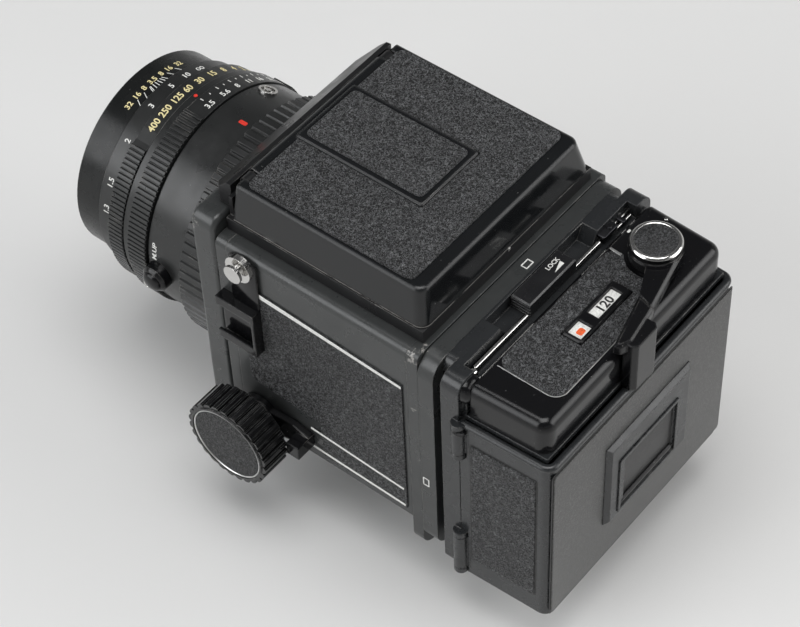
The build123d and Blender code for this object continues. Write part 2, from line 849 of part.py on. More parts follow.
def make_front_standard():
    slope_top = standard_foot + (body_half_width - standard_foot_half_width)
    plate = across_y([
        (-standard_foot_half_width, standard_foot), (standard_foot_half_width, standard_foot),
        (body_half_width, slope_top), (body_half_width, standard_top), (-body_half_width, standard_top),
        (-body_half_width, slope_top)], standard_front, standard_back)
    corners = plate.edges().filter_by(Axis.Y).group_by(Axis.Z)
    plate = fillet(corners[-1], standard_corner)
    top_front = plate.edges().filter_by(Axis.X).group_by(Axis.Z)[-1]
    plate = fillet(top_front, 2.0)
    plate -= window_y(bellows_half_width + standard_pocket_gap, bellows_floor - seam,
                      bellows_roof + standard_pocket_gap, standard_front + standard_wall, standard_back + 1,
                      bellows_seat_corner)
    plate += ring_y(lens_seat_radius, lens_tube_radius + seat_gap, lock_ring_end + ring_gap / 2, standard_front)
    plate -= rod_y(lens_tube_radius + seat_gap, standard_front - 1, standard_front + standard_wall + 1)
    return plate


def make_bellows():
    """Pleated sleeve between the front standard and the mirror box, folded at rest."""
    start = standard_front + standard_wall
    stop = body_front + bellows_recess_depth
    height = (bellows_roof - bellows_floor) / 2
    middle = (bellows_roof + bellows_floor) / 2
    sections = []
    for i in range(2 * bellows_folds + 1):
        y = start + (stop - start) * i / (2 * bellows_folds)
        inset = 0.0 if i % 2 else bellows_pleat_depth
        sketch = Pos(0, middle) * Rectangle(2 * (bellows_half_width - inset), 2 * (height - inset))
        sections.append(Plane.XZ.offset(-y) * sketch)
    sleeve = loft(sections, ruled=True)
    inner_half = bellows_half_width - bellows_wall
    return sleeve - block(-inner_half, inner_half, start - 1, stop + 1,
                          bellows_floor + bellows_wall, bellows_roof - bellows_wall)


# Lens

def make_lens_tube():
    tube = ring_y(lens_tube_radius, lens_tube_bore, front_barrel_end - glass_seat_depth, standard_front + standard_wall)
    return tube + ring_y(lens_tube_bore + 1, shutter_opening_radius, shutter_plane,
                         shutter_plane + shutter_housing_length)


def make_front_barrel():
    tube_end = front_barrel_end - glass_seat_depth
    return turned([
        (filter_bore_radius, rim_y), (rim_radius - rim_round, rim_y), (rim_radius, rim_y + rim_round),
        (rim_radius, front_barrel_end),
        (lens_tube_radius + seat_gap, front_barrel_end), (lens_tube_radius + seat_gap, tube_end),
        (lens_tube_bore, tube_end), (lens_tube_bore, tube_end - 2.0),
        (name_ring_inner, tube_end - 2.0), (name_ring_inner, tube_end - 3.4),
        (filter_bore_radius - 1.2, rim_y + filter_bore_depth + 0.6),
        (filter_bore_radius, rim_y + filter_bore_depth),
    ])


def make_plain_ring(outer, y0, y1):
    return ring_y(outer, lens_tube_radius + running, y0 + ring_gap / 2, y1 - ring_gap / 2, 0.4)


def make_shutter_ring():
    return knurled_ring(shutter_ring_radius, shutter_scale_radius, lens_tube_radius + running,
                        distance_ring_end + ring_gap / 2, shutter_ring_end - ring_gap / 2,
                        fine_knurl_angle, shutter_knurl_from, shutter_knurl_to)


def make_aperture_ring():
    return knurled_ring(aperture_ring_radius, aperture_scale_radius, lens_tube_radius + running,
                        index_band_end + ring_gap / 2, aperture_ring_end - ring_gap / 2,
                        fine_knurl_angle, aperture_knurl_from, aperture_knurl_to)


def make_index_band():
    return ring_y(index_band_radius, lens_tube_radius + seat_gap, shutter_ring_end + ring_gap / 2,
                  index_band_end - ring_gap / 2, 0.3)


def around_lens(shape, angle):
    """Turn a shape that points up from the lens axis to an angle from +X towards +Z."""
    return Pos(0, 0, lens_axis_height) * Rot(0, 90 - angle, 0) * shape


def make_rear_barrel():
    barrel = ring_y(rear_barrel_radius, lens_tube_radius + seat_gap, aperture_ring_end + ring_gap / 2,
                    rear_barrel_end - ring_gap / 2, 0.5)
    seat = Pos(0, flash_socket_y, rear_barrel_radius) * Cylinder(flash_socket_radius + seat_gap, 2 * socket_depth)
    barrel -= around_lens(seat, flash_socket_angle)
    boss_seat = Pos(0, mirror_up_y, rear_barrel_radius) * Cylinder(mirror_up_radius + seat_gap, 2 * socket_depth)
    return barrel - around_lens(boss_seat, mirror_up_angle)


def make_flash_socket():
    bottom = rear_barrel_radius - socket_depth
    top = rear_barrel_radius + 0.9
    socket = Pos(0, flash_socket_y, (bottom + top) / 2) * Cylinder(flash_socket_radius, top - bottom)
    socket -= Pos(0, flash_socket_y, top) * (Cylinder(flash_socket_radius - 1.0, 3.0) - Cylinder(1.1, 3.0))
    return around_lens(socket, flash_socket_angle)


def make_mirror_up_socket():
    bottom = rear_barrel_radius - socket_depth
    top = rear_barrel_radius + mirror_up_rise
    boss = Pos(0, mirror_up_y, (bottom + top) / 2) * Cylinder(mirror_up_radius, top - bottom)
    boss = chamfer(boss.edges().sort_by(Axis.Z)[-1], 1.2)
    return around_lens(boss, mirror_up_angle)


def knurled_rim(outer, depth, inner, y0, y1, count, centre_x=0.0, centre_z=None):
    """A ring with straight ridges all round, about an axis along Y."""
    centre_z = lens_axis_height if centre_z is None else centre_z
    points = []
    for i in range(count):
        for share, radius in ((0.0, outer - depth), (0.12, outer), (0.66, outer), (0.78, outer - depth)):
            angle = 2 * pi * (i + share) / count
            points.append((centre_x + radius * cos(angle), centre_z + radius * sin(angle)))
    return across_y(points, y0, y1) - rod_y(inner, y0 - 1, y1 + 1, centre_x, centre_z)


def make_lock_ring():
    count = round(2 * pi * lock_ring_radius / coarse_knurl_pitch)
    return knurled_rim(lock_ring_radius, coarse_knurl_depth, lens_tube_radius + running, rear_barrel_end + ring_gap / 2,
                       lock_ring_end - ring_gap / 2, count)


def glass_disc(radius, edge, y_front, bulge_front, bulge_rear):
    """A lens element with two shallow curved faces."""
    y_rear = y_front + edge
    steps = 8
    points = []
    for i in range(steps + 1):
        share = i / steps
        points.append((radius * share, y_front - bulge_front * (1 - share ** 2)))
    for i in range(steps, -1, -1):
        share = i / steps
        points.append((radius * share, y_rear + bulge_rear * (1 - share ** 2)))
    return turned(points)


def make_front_glass():
    return glass_disc(lens_tube_bore - seat_gap, glass_edge, front_barrel_end - glass_seat_depth,
                      front_glass_bulge, flat_glass_bulge)


def make_rear_glass():
    return glass_disc(lens_tube_bore - seat_gap, glass_edge, standard_front + standard_wall - glass_edge,
                      flat_glass_bulge - 0.1, rear_glass_bulge)


def make_shutter_blades():
    """Closed shutter blades, which lie on the front of the shutter housing."""
    return rod_y(lens_tube_bore - seat_gap, shutter_plane - 0.8, shutter_plane)


# Reflex mirror and light flap

def mirror_point(along, above):
    """A (y, z) point given along the resting mirror and above its back plate."""
    step = sqrt(0.5)
    return (mirror_pivot_y - step * (along + above), mirror_pivot_height - step * (along - above))


def mirror_slab(start, stop, low, high, half_width):
    points = [mirror_point(start, low), mirror_point(stop, low), mirror_point(stop, high), mirror_point(start, high)]
    return across_x(points, -half_width, half_width)


def make_mirror_frame():
    frame = mirror_slab(0, mirror_length, -mirror_frame_thickness, 0, mirror_half_width)
    frame += rod_x(mirror_axle_radius + 0.6, -mirror_half_width, mirror_half_width,
                   mirror_pivot_y, mirror_pivot_height)
    reach = chamber_half_width + axle_bearing_depth - 0.1
    return frame + rod_x(mirror_axle_radius, -reach, reach, mirror_pivot_y, mirror_pivot_height)


def make_mirror_glass():
    return mirror_slab(3.5, mirror_length - 0.6, 0, mirror_glass_thickness, mirror_half_width - 0.8)


def make_light_flap():
    flap = block(-flap_half_width, flap_half_width, flap_pivot_y - flap_thickness / 2,
                 flap_pivot_y + flap_thickness / 2, flap_pivot_height - flap_length, flap_pivot_height)
    flap += rod_x(flap_axle_radius + 0.4, -flap_half_width, flap_half_width, flap_pivot_y, flap_pivot_height)
    reach = chamber_half_width + axle_bearing_depth - 0.1
    return flap + rod_x(flap_axle_radius, -reach, reach, flap_pivot_y, flap_pivot_height)


# Focusing screen and finder

def make_screen():
    half = screen_half + screen_ledge - 0.1
    return block(-half, half, screen_front + 0.1, screen_rear - 0.1, screen_seat(), screen_seat() + screen_thickness)


def lid_half_at(height):
    """Half the lid's width at a height, between its foot and its top."""
    share = (height - finder_base_height) / (lid_top_height - finder_base_height)
    return lid_skirt_half_width + share * (lid_half_width - lid_skirt_half_width)


def lid_rear_at(height):
    share = (height - finder_base_height) / (lid_top_height - finder_base_height)
    return lid_skirt_rear + share * (lid_rear - lid_skirt_rear)


def make_finder_base():
    front = body_front + finder_front_setback
    rear = body_rear - finder_rear_setback
    half = finder_base_half_width
    base = block(-half, half, front, rear, body_top_height, finder_base_height)
    frame_half = screen_half + screen_ledge - seat_gap
    base += block(-frame_half, frame_half, screen_front + seat_gap, screen_rear - seat_gap,
                  screen_seat() + screen_thickness, body_top_height + 1)
    base -= block(-screen_half - 1.0, screen_half + 1.0, screen_front + 1.0, screen_rear - 1.0,
                  screen_seat(), finder_base_height + 1)
    base += block(-half + 2, half - 2, front, front + 1.6, finder_base_height - 1, lid_hinge_height - 3.3)
    fairing = across_x([
        (front, lid_hinge_height + 0.8), (front - 2, lid_hinge_height + 0.6),
        (fairing_front, fairing_foot + 0.6), (fairing_front, fairing_foot), (front, fairing_foot)],
        -lid_half_width, lid_half_width)
    for side in (1, -1):
        fairing -= across_z([
            (side * (lid_half_width + 1), fairing_front + fairing_corner),
            (side * (lid_half_width + 1), fairing_front - 1),
            (side * (lid_half_width - fairing_corner), fairing_front - 1)], fairing_foot - 1, lid_hinge_height + 2)
    base += fairing
    rear_edge = lid_rear_at(side_leaf_height + 1.4) - lid_wall - 0.5
    leaf_rear = rear_leaf_hinge_y - 1.9
    for side in (1, -1):
        inner = side * (leaf_hinge_x - 1.1)
        outer = side * (lid_half_at(side_leaf_height + 1.5) - lid_wall - 0.5)
        base += block(side * (leaf_hinge_x + 1.2), outer, -36.0, rear_edge, finder_base_height - 1,
                      side_leaf_height + 1.4)
        front_block = block(inner, outer, lid_hinge_y + 1.0, screen_front + 0.9, finder_base_height - 1,
                            side_leaf_height + 1.4)
        rear_block = block(side * (leaf_hinge_x - 2.4), outer, leaf_rear + 0.3, rear_edge,
                           finder_base_height - 1, side_leaf_height + 1.4)
        base += front_block + rear_block
        base -= rod_y(leaf_pin_radius + running, lid_hinge_y, leaf_rear + 2.1, side * leaf_hinge_x, side_leaf_height)
        base -= rod_x(leaf_pin_radius + running, side * (leaf_hinge_x - 3.0), side * (leaf_hinge_x - 0.9),
                      rear_leaf_hinge_y, rear_leaf_height)
        lug_inner = side * (lid_nose_half_width + lid_lug_gap)
        lug_outer = side * (lid_nose_half_width + lid_lug_gap + lid_lug_width)
        base += block(lug_inner, lug_outer, lid_hinge_y - 2.3, lid_hinge_y + 2.3, finder_base_height - 1,
                      lid_hinge_height)
        base += rod_x(2.3, lug_inner, lug_outer, lid_hinge_y, lid_hinge_height)
        base += rod_x(lid_pin_radius, side * (lid_nose_half_width - 2.6), lug_inner + side * 1,
                      lid_hinge_y, lid_hinge_height)
    base += block(-leaf_hinge_x + 2.4, leaf_hinge_x - 2.4, rear_leaf_hinge_y + 1.4, rear_edge,
                  finder_base_height - 1, rear_leaf_height + 0.8)
    return base


def frustum(foot, top, half_foot, half_top, front, rear_foot, rear_top, corner, edge):
    """A block whose two sides and rear lean in towards the top, with rounded rear corners and top edges."""
    seen_from_side = across_x([(front, foot), (rear_foot, foot), (rear_top, top), (front, top)],
                              -half_foot - 1, half_foot + 1)
    seen_from_front = across_y([(-half_foot, foot), (half_foot, foot), (half_top, top), (-half_top, top)],
                               front - 1, rear_foot + 1)
    shape = seen_from_side & seen_from_front
    rear_corners = shape.edges().filter_by(lambda e: abs(e.tangent_at(0.5).Z) > 0.8).group_by(Axis.Y)[-1]
    shape = fillet(rear_corners, corner)
    if edge == 0:
        return shape
    top_edges = shape.faces().sort_by(Axis.Z)[-1].edges()
    return fillet(top_edges.filter_by(lambda e: e.center().Y > front + 0.1), edge)


def make_lid():
    inner_top = lid_top_height - lid_wall
    foot = finder_base_height
    lid = frustum(foot, lid_top_height, lid_skirt_half_width, lid_half_width, lid_hinge_y, lid_skirt_rear, lid_rear,
                  lid_corner, lid_edge)
    lid -= frustum(foot - 1, inner_top, lid_half_at(foot - 1) - lid_wall, lid_half_at(inner_top) - lid_wall,
                   lid_hinge_y - 3, lid_rear_at(foot - 1) - lid_wall, lid_rear_at(inner_top) - lid_wall,
                   lid_inner_corner, 0)
    lid -= block(-lid_skirt_half_width - 1, lid_skirt_half_width + 1, lid_hinge_y - 5, lid_skirt_rear + 1,
                 foot - 1, foot + seam)
    lid += rod_x(lid_hinge_radius, -lid_nose_half_width, lid_nose_half_width, lid_hinge_y, lid_hinge_height)
    pin_y = magnifier_y()
    lug_end = lid_nose_half_width + lid_lug_gap + lid_lug_width + seam
    for side in (1, -1):
        lid -= block(side * (lid_nose_half_width + seam), side * lug_end, lid_hinge_y - 4, lid_hinge_y + 2.8,
                     foot - 2, lid_top_height + 1)
        lid -= rod_x(lid_pin_radius + running, side * (lid_nose_half_width - 2.8), side * (lid_nose_half_width + 1),
                     lid_hinge_y, lid_hinge_height)
        ear = block(side * (magnifier_half_width - 2.7), side * (magnifier_half_width - 0.5),
                    pin_y - 1.6, pin_y + 1.6, magnifier_height - 1.6, inner_top + 0.5)
        lid += ear
        lid -= rod_x(0.7 + running, side * (magnifier_half_width - 3), side * magnifier_half_width,
                     pin_y, magnifier_height)
    return lid + make_lid_panel()


def magnifier_y():
    """Where the magnifier's hinge lies while the lid is shut."""
    return lid_hinge_y + magnifier_hinge_distance


def make_lid_leather():
    top = lid_top_height + leather_thickness
    leather = plate_z(-lid_leather_half_width, lid_leather_half_width, lid_leather_front, lid_leather_rear,
                      lid_top_height, top, lid_leather_corner)
    return leather - block(panel_right - 0.2, panel_left + 0.2, lid_leather_front - 2, panel_rear + 0.2,
                           lid_top_height - 1, top + 1)


def make_lid_panel():
    panel = plate_z(panel_right, panel_left, panel_front, panel_rear, lid_top_height - 0.4,
                    lid_top_height + panel_rise, 1.0)
    return chamfer(panel.edges().group_by(Axis.Z)[-1], 0.5)


def make_side_leaf(side):
    """A light-hood leaf, folded flat inwards, with its hinge barrel and pins."""
    front = screen_front + 1.2
    rear = rear_leaf_hinge_y - 1.9
    z0 = side_leaf_height - leaf_thickness / 2
    z1 = side_leaf_height + leaf_thickness / 2
    leaf = across_z([
        (leaf_hinge_x, front), (leaf_hinge_x, rear), (leaf_hinge_x - leaf_reach, rear),
        (leaf_hinge_x - leaf_reach, front + 18), (leaf_hinge_x - 9, front)], z0, z1)
    leaf += rod_y(leaf_barrel_radius, front, rear, leaf_hinge_x, side_leaf_height)
    leaf += rod_y(leaf_pin_radius, front - 1.6, rear + 1.6, leaf_hinge_x, side_leaf_height)
    return leaf if side > 0 else mirrored(leaf)


def make_rear_leaf():
    z0 = rear_leaf_height - leaf_thickness / 2
    z1 = rear_leaf_height + leaf_thickness / 2
    half = leaf_hinge_x - 2.7
    far = rear_leaf_hinge_y - rear_leaf_reach
    tip = leaf_hinge_x - 0.5 - rear_leaf_reach
    corner = rear_leaf_hinge_y - (leaf_hinge_x - 0.5 - half)
    leaf = across_z([
        (-half, rear_leaf_hinge_y), (-half, corner), (-tip, far), (tip, far), (half, corner),
        (half, rear_leaf_hinge_y)], z0, z1)
    leaf += rod_x(leaf_barrel_radius, -half, half, rear_leaf_hinge_y, rear_leaf_height)
    return leaf + rod_x(leaf_pin_radius, -half - 1.5, half + 1.5, rear_leaf_hinge_y, rear_leaf_height)


def make_magnifier_frame():
    y0 = magnifier_y()
    half = magnifier_half_width
    centre_y = y0 + magnifier_length / 2 + 1
    frame = plate_z(-half, half, y0 + 2.6, y0 + magnifier_length, magnifier_height - 1, magnifier_height + 1, 2.0)
    frame += block(-half + 3, half - 3, y0, y0 + 4, magnifier_height - 1, magnifier_height + 1)
    frame += rod_x(1.3, -half + 3, half - 3, y0, magnifier_height)
    frame += rod_x(0.7, -half + 0.8, half - 0.8, y0, magnifier_height)
    return frame - rod_z(magnifier_glass_radius + seat_gap, 0, centre_y, magnifier_height - 2, magnifier_height + 2)


def make_magnifier_glass():
    centre_y = magnifier_y() + magnifier_length / 2 + 1
    return rod_z(magnifier_glass_radius, 0, centre_y, magnifier_height - 1, magnifier_height + 1)


# Controls on the photographer's right

def make_release_housing():
    x, z = -release_x, release_height
    housing = rod_y(release_radius, release_front, release_rear, x, z)
    step = release_radius * sqrt(0.5)
    offset = body_half_width - side_foot_height
    near = (x + step, z - step)
    far = (x - step, z + step)
    web = [near, far, (-(far[1] + 7 + offset), far[1] + 7), (-(near[1] + 7 + offset), near[1] + 7)]
    housing += across_y(web, body_front + front_wall, release_rear)
    housing -= rod_y(button_radius + running, release_front - 1, release_front + 9, x, z)
    return housing - rod_y(button_stem_radius + running, release_front + 8, release_rear - 2, x, z)


def make_shutter_button():
    x, z = -release_x, release_height
    button = rod_y(button_radius, release_front - button_travel - 0.8, release_front + 5.5, x, z)
    button += rod_y(button_stem_radius, release_front + 5.5, release_rear - 5.5, x, z)
    return button - rod_y(1.2, release_front - button_travel - 2, release_front - button_travel + 2, x, z)


def make_release_collar():
    x, z = -release_x, release_height
    front, rear = release_front + 1.0, release_front + 1.0 + collar_length
    outer = release_radius + collar_wall
    collar = rod_y(outer, front, rear, x, z)
    collar += block(x - outer - collar_grip, x - release_radius, front + 0.6, rear - 0.6, z - 1.6, z + 1.6)
    return collar - rod_y(release_radius + running, release_front, release_front + 6, x, z)


def make_lever_studs():
    """Fixed studs that the two levers on the right side turn on."""
    studs = None
    for y, z in ((cocking_pivot_y, cocking_pivot_height), (multiple_pivot_y, multiple_pivot_height)):
        end = -body_half_width - lever_stud_length
        stud = rod_x(lever_stud_radius, end, -body_half_width, y, z)
        stud += rod_x(lever_stud_radius + 1.2, end - 1.0, end + 0.2, y, z)
        studs = stud if studs is None else studs + stud
    return studs


def side_lever(y, z, tip_y, tip_z, hub, tip):
    """A flat lever on the right side with a finger pad at its end."""
    x0 = -body_half_width - leather_thickness - seam
    x1 = x0 - lever_thickness
    length = hypot(tip_y - y, tip_z - z)
    across_y_step, across_z_step = (tip_z - z) / length, -(tip_y - y) / length
    arm = across_x([
        (y + across_y_step * hub * 0.7, z + across_z_step * hub * 0.7),
        (tip_y + across_y_step * tip, tip_z + across_z_step * tip),
        (tip_y - across_y_step * tip, tip_z - across_z_step * tip),
        (y - across_y_step * hub * 0.7, z - across_z_step * hub * 0.7)], x1 + 1.4, x0)
    lever = arm + rod_x(hub, x1, x0, y, z) + rod_x(tip, x1 - finger_pad_length, x0, tip_y, tip_z)
    return lever - rod_x(lever_stud_radius + running, x1 - 1, x0 + 1, y, z)


def make_cocking_lever():
    return side_lever(cocking_pivot_y, cocking_pivot_height, cocking_pivot_y + cocking_reach_y,
                      cocking_pivot_height + cocking_reach_z, cocking_hub_radius, cocking_tip_radius)


def make_multiple_lever():
    return side_lever(multiple_pivot_y, multiple_pivot_height, multiple_pivot_y + multiple_reach_y,
                      multiple_pivot_height + multiple_reach_z, multiple_hub_radius, multiple_tip_radius)


# Revolving adapter and bearing

def make_adapter():
    adapter = window_y(adapter_half_width, lens_axis_height - adapter_half_height,
                       lens_axis_height + adapter_half_height, adapter_front, adapter_rear, adapter_corner)
    adapter -= rod_y(bearing_outer_radius + running, adapter_front - 1, adapter_front + bearing_depth)
    return adapter - rod_y(film_opening_corner_radius, adapter_front, adapter_rear + 1)


# Film holder

def holder_half_at(y):
    """Half the film holder's width at a distance along the camera; it narrows to the rear."""
    share = (y - holder_front_rear) / (cover_rear - holder_front_rear)
    return holder_half_width + share * (holder_rear_half_width - holder_half_width)


def gate_window(y0, y1, margin):
    half_width = film_gate_width / 2 + margin
    half_height = film_gate_height / 2 + margin
    return block(-half_width, half_width, y0, y1, lens_axis_height - half_height, lens_axis_height + half_height)


def dark_slide_y():
    return (adapter_rear + holder_flange_rear) / 2


def make_dark_slide():
    y = dark_slide_y()
    half = dark_slide_half_height
    sheet = block(-dark_slide_grip_x, dark_slide_end, y - dark_slide_thickness / 2, y + dark_slide_thickness / 2,
                  lens_axis_height - half, lens_axis_height + half)
    sheet += block(-dark_slide_grip_x - 5, -dark_slide_grip_x + 3, y - 1.3, y + 1.3,
                   lens_axis_height - half, lens_axis_height + half)
    return sheet


def hinge_spans():
    """Lower and upper end of each of the two hinge barrels."""
    return ((holder_foot + shelf_thickness + 0.2, holder_foot + 20.5), (cover_top - 13.6, cover_top - 1.6))


def lock_block_slot(z0, z1, gap):
    """The tongue of a slide lock, or with a gap the slot that it runs in."""
    travel = lock_travel if gap > 0 else 0.0
    return block(lock_block_left - 5 + gap, lock_block_right + 5 - travel - gap, lock_tongue_y - 0.9 - gap,
                 lock_tongue_y + 0.9 + gap, z0, z1)


def make_holder_case():
    half = holder_half_width
    foot = holder_foot
    case = block(-half, half, holder_flange_rear, holder_front_rear, foot, deck_height)
    case = fillet(case.edges().filter_by(Axis.Y).group_by(Axis.Z)[0], 3.0)
    case = fillet(case.edges().filter_by(Axis.Y).group_by(Axis.Z)[-1], deck_corner)
    case += window_y(holder_flange_half_width, foot + shelf_thickness, deck_height, adapter_rear,
                     holder_flange_rear + 1, 4.0)
    case -= block(-deck_channel_end, deck_channel_end, deck_rear, holder_front_rear + 1,
                  deck_channel_floor, deck_height + 1)
    case += block(-half + 2.4, half - 2.4, holder_front_rear - 1, housing_front, cover_top + 1.0, deck_channel_floor)
    case -= finger_recess()
    rear = cover_rear - cover_wall - 1.0
    inset = cover_wall + seam
    plate = [(-half, holder_front_rear), (half - inset, holder_front_rear),
             (holder_half_at(rear) - inset, rear), (-holder_half_at(rear) + inset, rear),
             (-holder_half_at(rear) + inset, holder_wall_rear), (-holder_half_at(holder_wall_rear), holder_wall_rear)]
    case += across_z(plate, foot, foot + shelf_thickness)
    case += across_z(plate, cover_top + 1.0, housing_foot)
    case += across_z([(-half, holder_front_rear - 1), (-half + 2, holder_front_rear - 1),
                      (-holder_half_at(holder_wall_rear) + 2, holder_wall_rear),
                      (-holder_half_at(holder_wall_rear), holder_wall_rear)], foot, housing_foot)
    case -= gate_window(adapter_rear - 1, holder_front_rear + 1, 0.8)
    slot_y = dark_slide_y() - dark_slide_thickness / 2 - slide_gap
    case -= block(-holder_flange_half_width - 1, dark_slide_end + slide_gap, slot_y,
                  slot_y + dark_slide_thickness + 2 * slide_gap,
                  lens_axis_height - dark_slide_half_height - slide_gap,
                  lens_axis_height + dark_slide_half_height + slide_gap)
    for z0, z1 in hinge_spans():
        case -= rod_z(hinge_barrel_radius + seam, hinge_axis_x, hinge_axis_y, z0 - seam, z1 + seam)
        for low, high in ((z0 - seam - hinge_lug_length, z0 - seam), (z1 + seam, z1 + seam + hinge_lug_length)):
            case += rod_z(hinge_barrel_radius, hinge_axis_x, hinge_axis_y, low, high)
            case += block(half - 3, hinge_axis_x, hinge_axis_y - 2.2, hinge_axis_y - 0.2, low, high)
        case += rod_z(hinge_pin_radius, hinge_axis_x, hinge_axis_y, z0 - 1, z1 + 1)
    for x in (spool_axis_x, -spool_axis_x):
        case -= rod_z(spool_pin_radius + running, x, spool_axis_y, cover_top, housing_foot + 1)
    case -= lock_block_slot(deck_channel_floor - lock_tongue_depth - 0.2, deck_channel_floor + 1, slide_gap)
    case -= lock_block_slot(foot - 1, foot + lock_tongue_depth + 0.2, slide_gap)
    wall_x = holder_half_at(latch_y)
    case -= block(-wall_x - 2, -wall_x + 4, latch_y - 1.5 - slide_gap, latch_y + 1.5 + slide_gap,
                  latch_height - 5 - slide_gap, latch_height + 5 + latch_travel + slide_gap)
    return case


def finger_recess():
    """The trough in the deck where the top slide lock runs, with sloping ends for a fingertip."""
    left, right = finger_recess_left, finger_recess_right
    slope = finger_recess_slope * (1 + 1 / deck_channel_depth)
    return across_y([
        (right + finger_recess_slope, deck_channel_floor), (left - finger_recess_slope, deck_channel_floor),
        (left - finger_recess_slope + slope, deck_height + 1), (right + finger_recess_slope - slope, deck_height + 1)],
        lock_block_front - slide_gap, holder_front_rear + 1)


def make_lock_block(top):
    """A slide lock: a finger block with a ribbed end and a tongue in its slot."""
    if top:
        base, crown, tongue = deck_channel_floor + slide_gap, deck_height + lock_block_rise, deck_channel_floor
        tongue -= lock_tongue_depth
    else:
        base, crown, tongue = holder_foot - slide_gap, holder_foot - lower_block_rise, holder_foot + lock_tongue_depth
    lower, upper = min(base, crown), max(base, crown)
    slider = block(lock_block_right, lock_block_left, lock_block_front, lock_block_rear, lower, upper)
    face = slider.faces().sort_by(Axis.Z)[-1 if top else 0]
    slider = chamfer(face.edges(), 0.5)
    for i in range(lock_block_ribs):
        z = (lower + upper) / 2 + (i - (lock_block_ribs - 1) / 2) * lock_block_rib_pitch
        if abs(z - (lower + upper) / 2) < (upper - lower) / 2 - 0.8:
            groove = across_y([(lock_block_left + 0.1, z - 0.4), (lock_block_left - 0.5, z), (lock_block_left + 0.1, z + 0.4)],
                              lock_block_front - 1, lock_block_rear + 1)
            slider -= groove
    return slider + lock_block_slot(min(base, tongue), max(base, tongue), 0.0)


def make_gear_housing():
    """The housing of the film counter's gears, with rounded rear corners and rounded top edges."""
    rear = housing_rear
    outline = [(-housing_half_width, housing_front), (housing_half_width, housing_front),
               (housing_rear_half_width, rear), (-housing_rear_half_width, rear)]
    housing = across_z(outline, housing_foot, housing_top)
    housing = fillet(housing.edges().filter_by(Axis.Z).group_by(Axis.Y)[-1], housing_corner)
    top_edges = housing.faces().sort_by(Axis.Z)[-1].edges()
    housing = fillet(top_edges.filter_by(lambda e: e.center().Y > housing_front + 0.1), housing_edge)
    front_edge = housing.faces().sort_by(Axis.Z)[-1].edges().sort_by(Axis.Y)[0]
    housing = chamfer(front_edge, housing_front_edge)
    housing -= rod_z(lever_spindle_radius + running, lever_axis_x, lever_axis_y, housing_foot + 2, housing_top + 1)
    for x in (spool_axis_x, -spool_axis_x):
        housing -= rod_z(spool_pin_radius + running, x, spool_axis_y, housing_foot - 1, housing_foot + 1.4)
    return housing + make_counter_bezel()


def make_top_leather():
    leather = plate_z(top_leather_right, top_leather_left, top_leather_front, top_leather_rear,
                      housing_top, housing_top + leather_thickness, top_leather_corner)
    leather -= rod_z(hub_radius + 1.0, lever_axis_x, lever_axis_y, housing_top - 1, housing_top + 2)
    return leather - block(counter_right - 0.2, counter_left + 0.2, counter_front - 0.2, counter_rear + 0.2,
                           housing_top - 1, housing_top + 2)


def make_counter_bezel():
    """A raised frame with two windows: the film size, and whether the film is wound on."""
    bezel = plate_z(counter_right, counter_left, counter_front, counter_rear,
                    housing_top - 0.4, housing_top + counter_rise, counter_corner)
    bezel = chamfer(bezel.edges().group_by(Axis.Z)[-1], 0.5)
    for right, left, front, rear in (size_window, state_window):
        bezel -= block(right, left, counter_front + front, counter_front + rear,
                       housing_top + counter_rise - counter_window_depth, housing_top + 3)
    return bezel


def make_advance_lever():
    """A round hub with a cap, a slender bevelled arm and a finger pad whose end hooks down."""
    x, y = lever_axis_x, lever_axis_y
    z1 = hub_top - hub_cap_thickness + 0.4
    z0 = z1 - lever_arm_thickness
    lever = rod_z(hub_radius, x, y, housing_top + seam, hub_top - hub_cap_thickness)
    cap = rod_z(hub_cap_radius, x, y, hub_top - hub_cap_thickness - 0.5, hub_top)
    cap = chamfer(cap.edges().group_by(Axis.Z)[-1], 0.5)
    arm = across_z([(x - 4.0, y + 8.4), (x + 8.1, y + 1.9), (x + 21.7, y + 8.4), (x + 23.9, y + 14.9),
                    (x + 0.6, y + 9.5)], z0, z1)
    arm = chamfer(arm.faces().sort_by(Axis.Z)[-1].edges().filter_by(lambda e: e.center().Y > y + 9.5), lever_arm_bevel)
    pad = across_z([(x + 21.0, y + 8.0), (x + 43.5, y + 13.8), (x + 42.6, y + 16.2), (x + 38.5, y + 17.8),
                    (x + 22.8, y + 15.2)], z0 + 0.6, z1 + 0.6)
    pad = chamfer(pad.faces().sort_by(Axis.Z)[-1].edges(), lever_arm_bevel)
    hook_front = housing_rear + 2 * seam
    hook_rear = hook_front + lever_hook_depth
    hook = across_z([(x + 27.4, hook_front), (x + 40.4, hook_front), (x + 40.4, hook_rear - 1.5),
                     (x + 38.9, hook_rear), (x + 28.9, hook_rear), (x + 27.4, hook_rear - 1.5)], lever_hook_foot, z1)
    lever += rod_z(lever_spindle_radius, x, y, housing_foot + 4, housing_top + 1)
    return lever + cap + arm + pad + hook


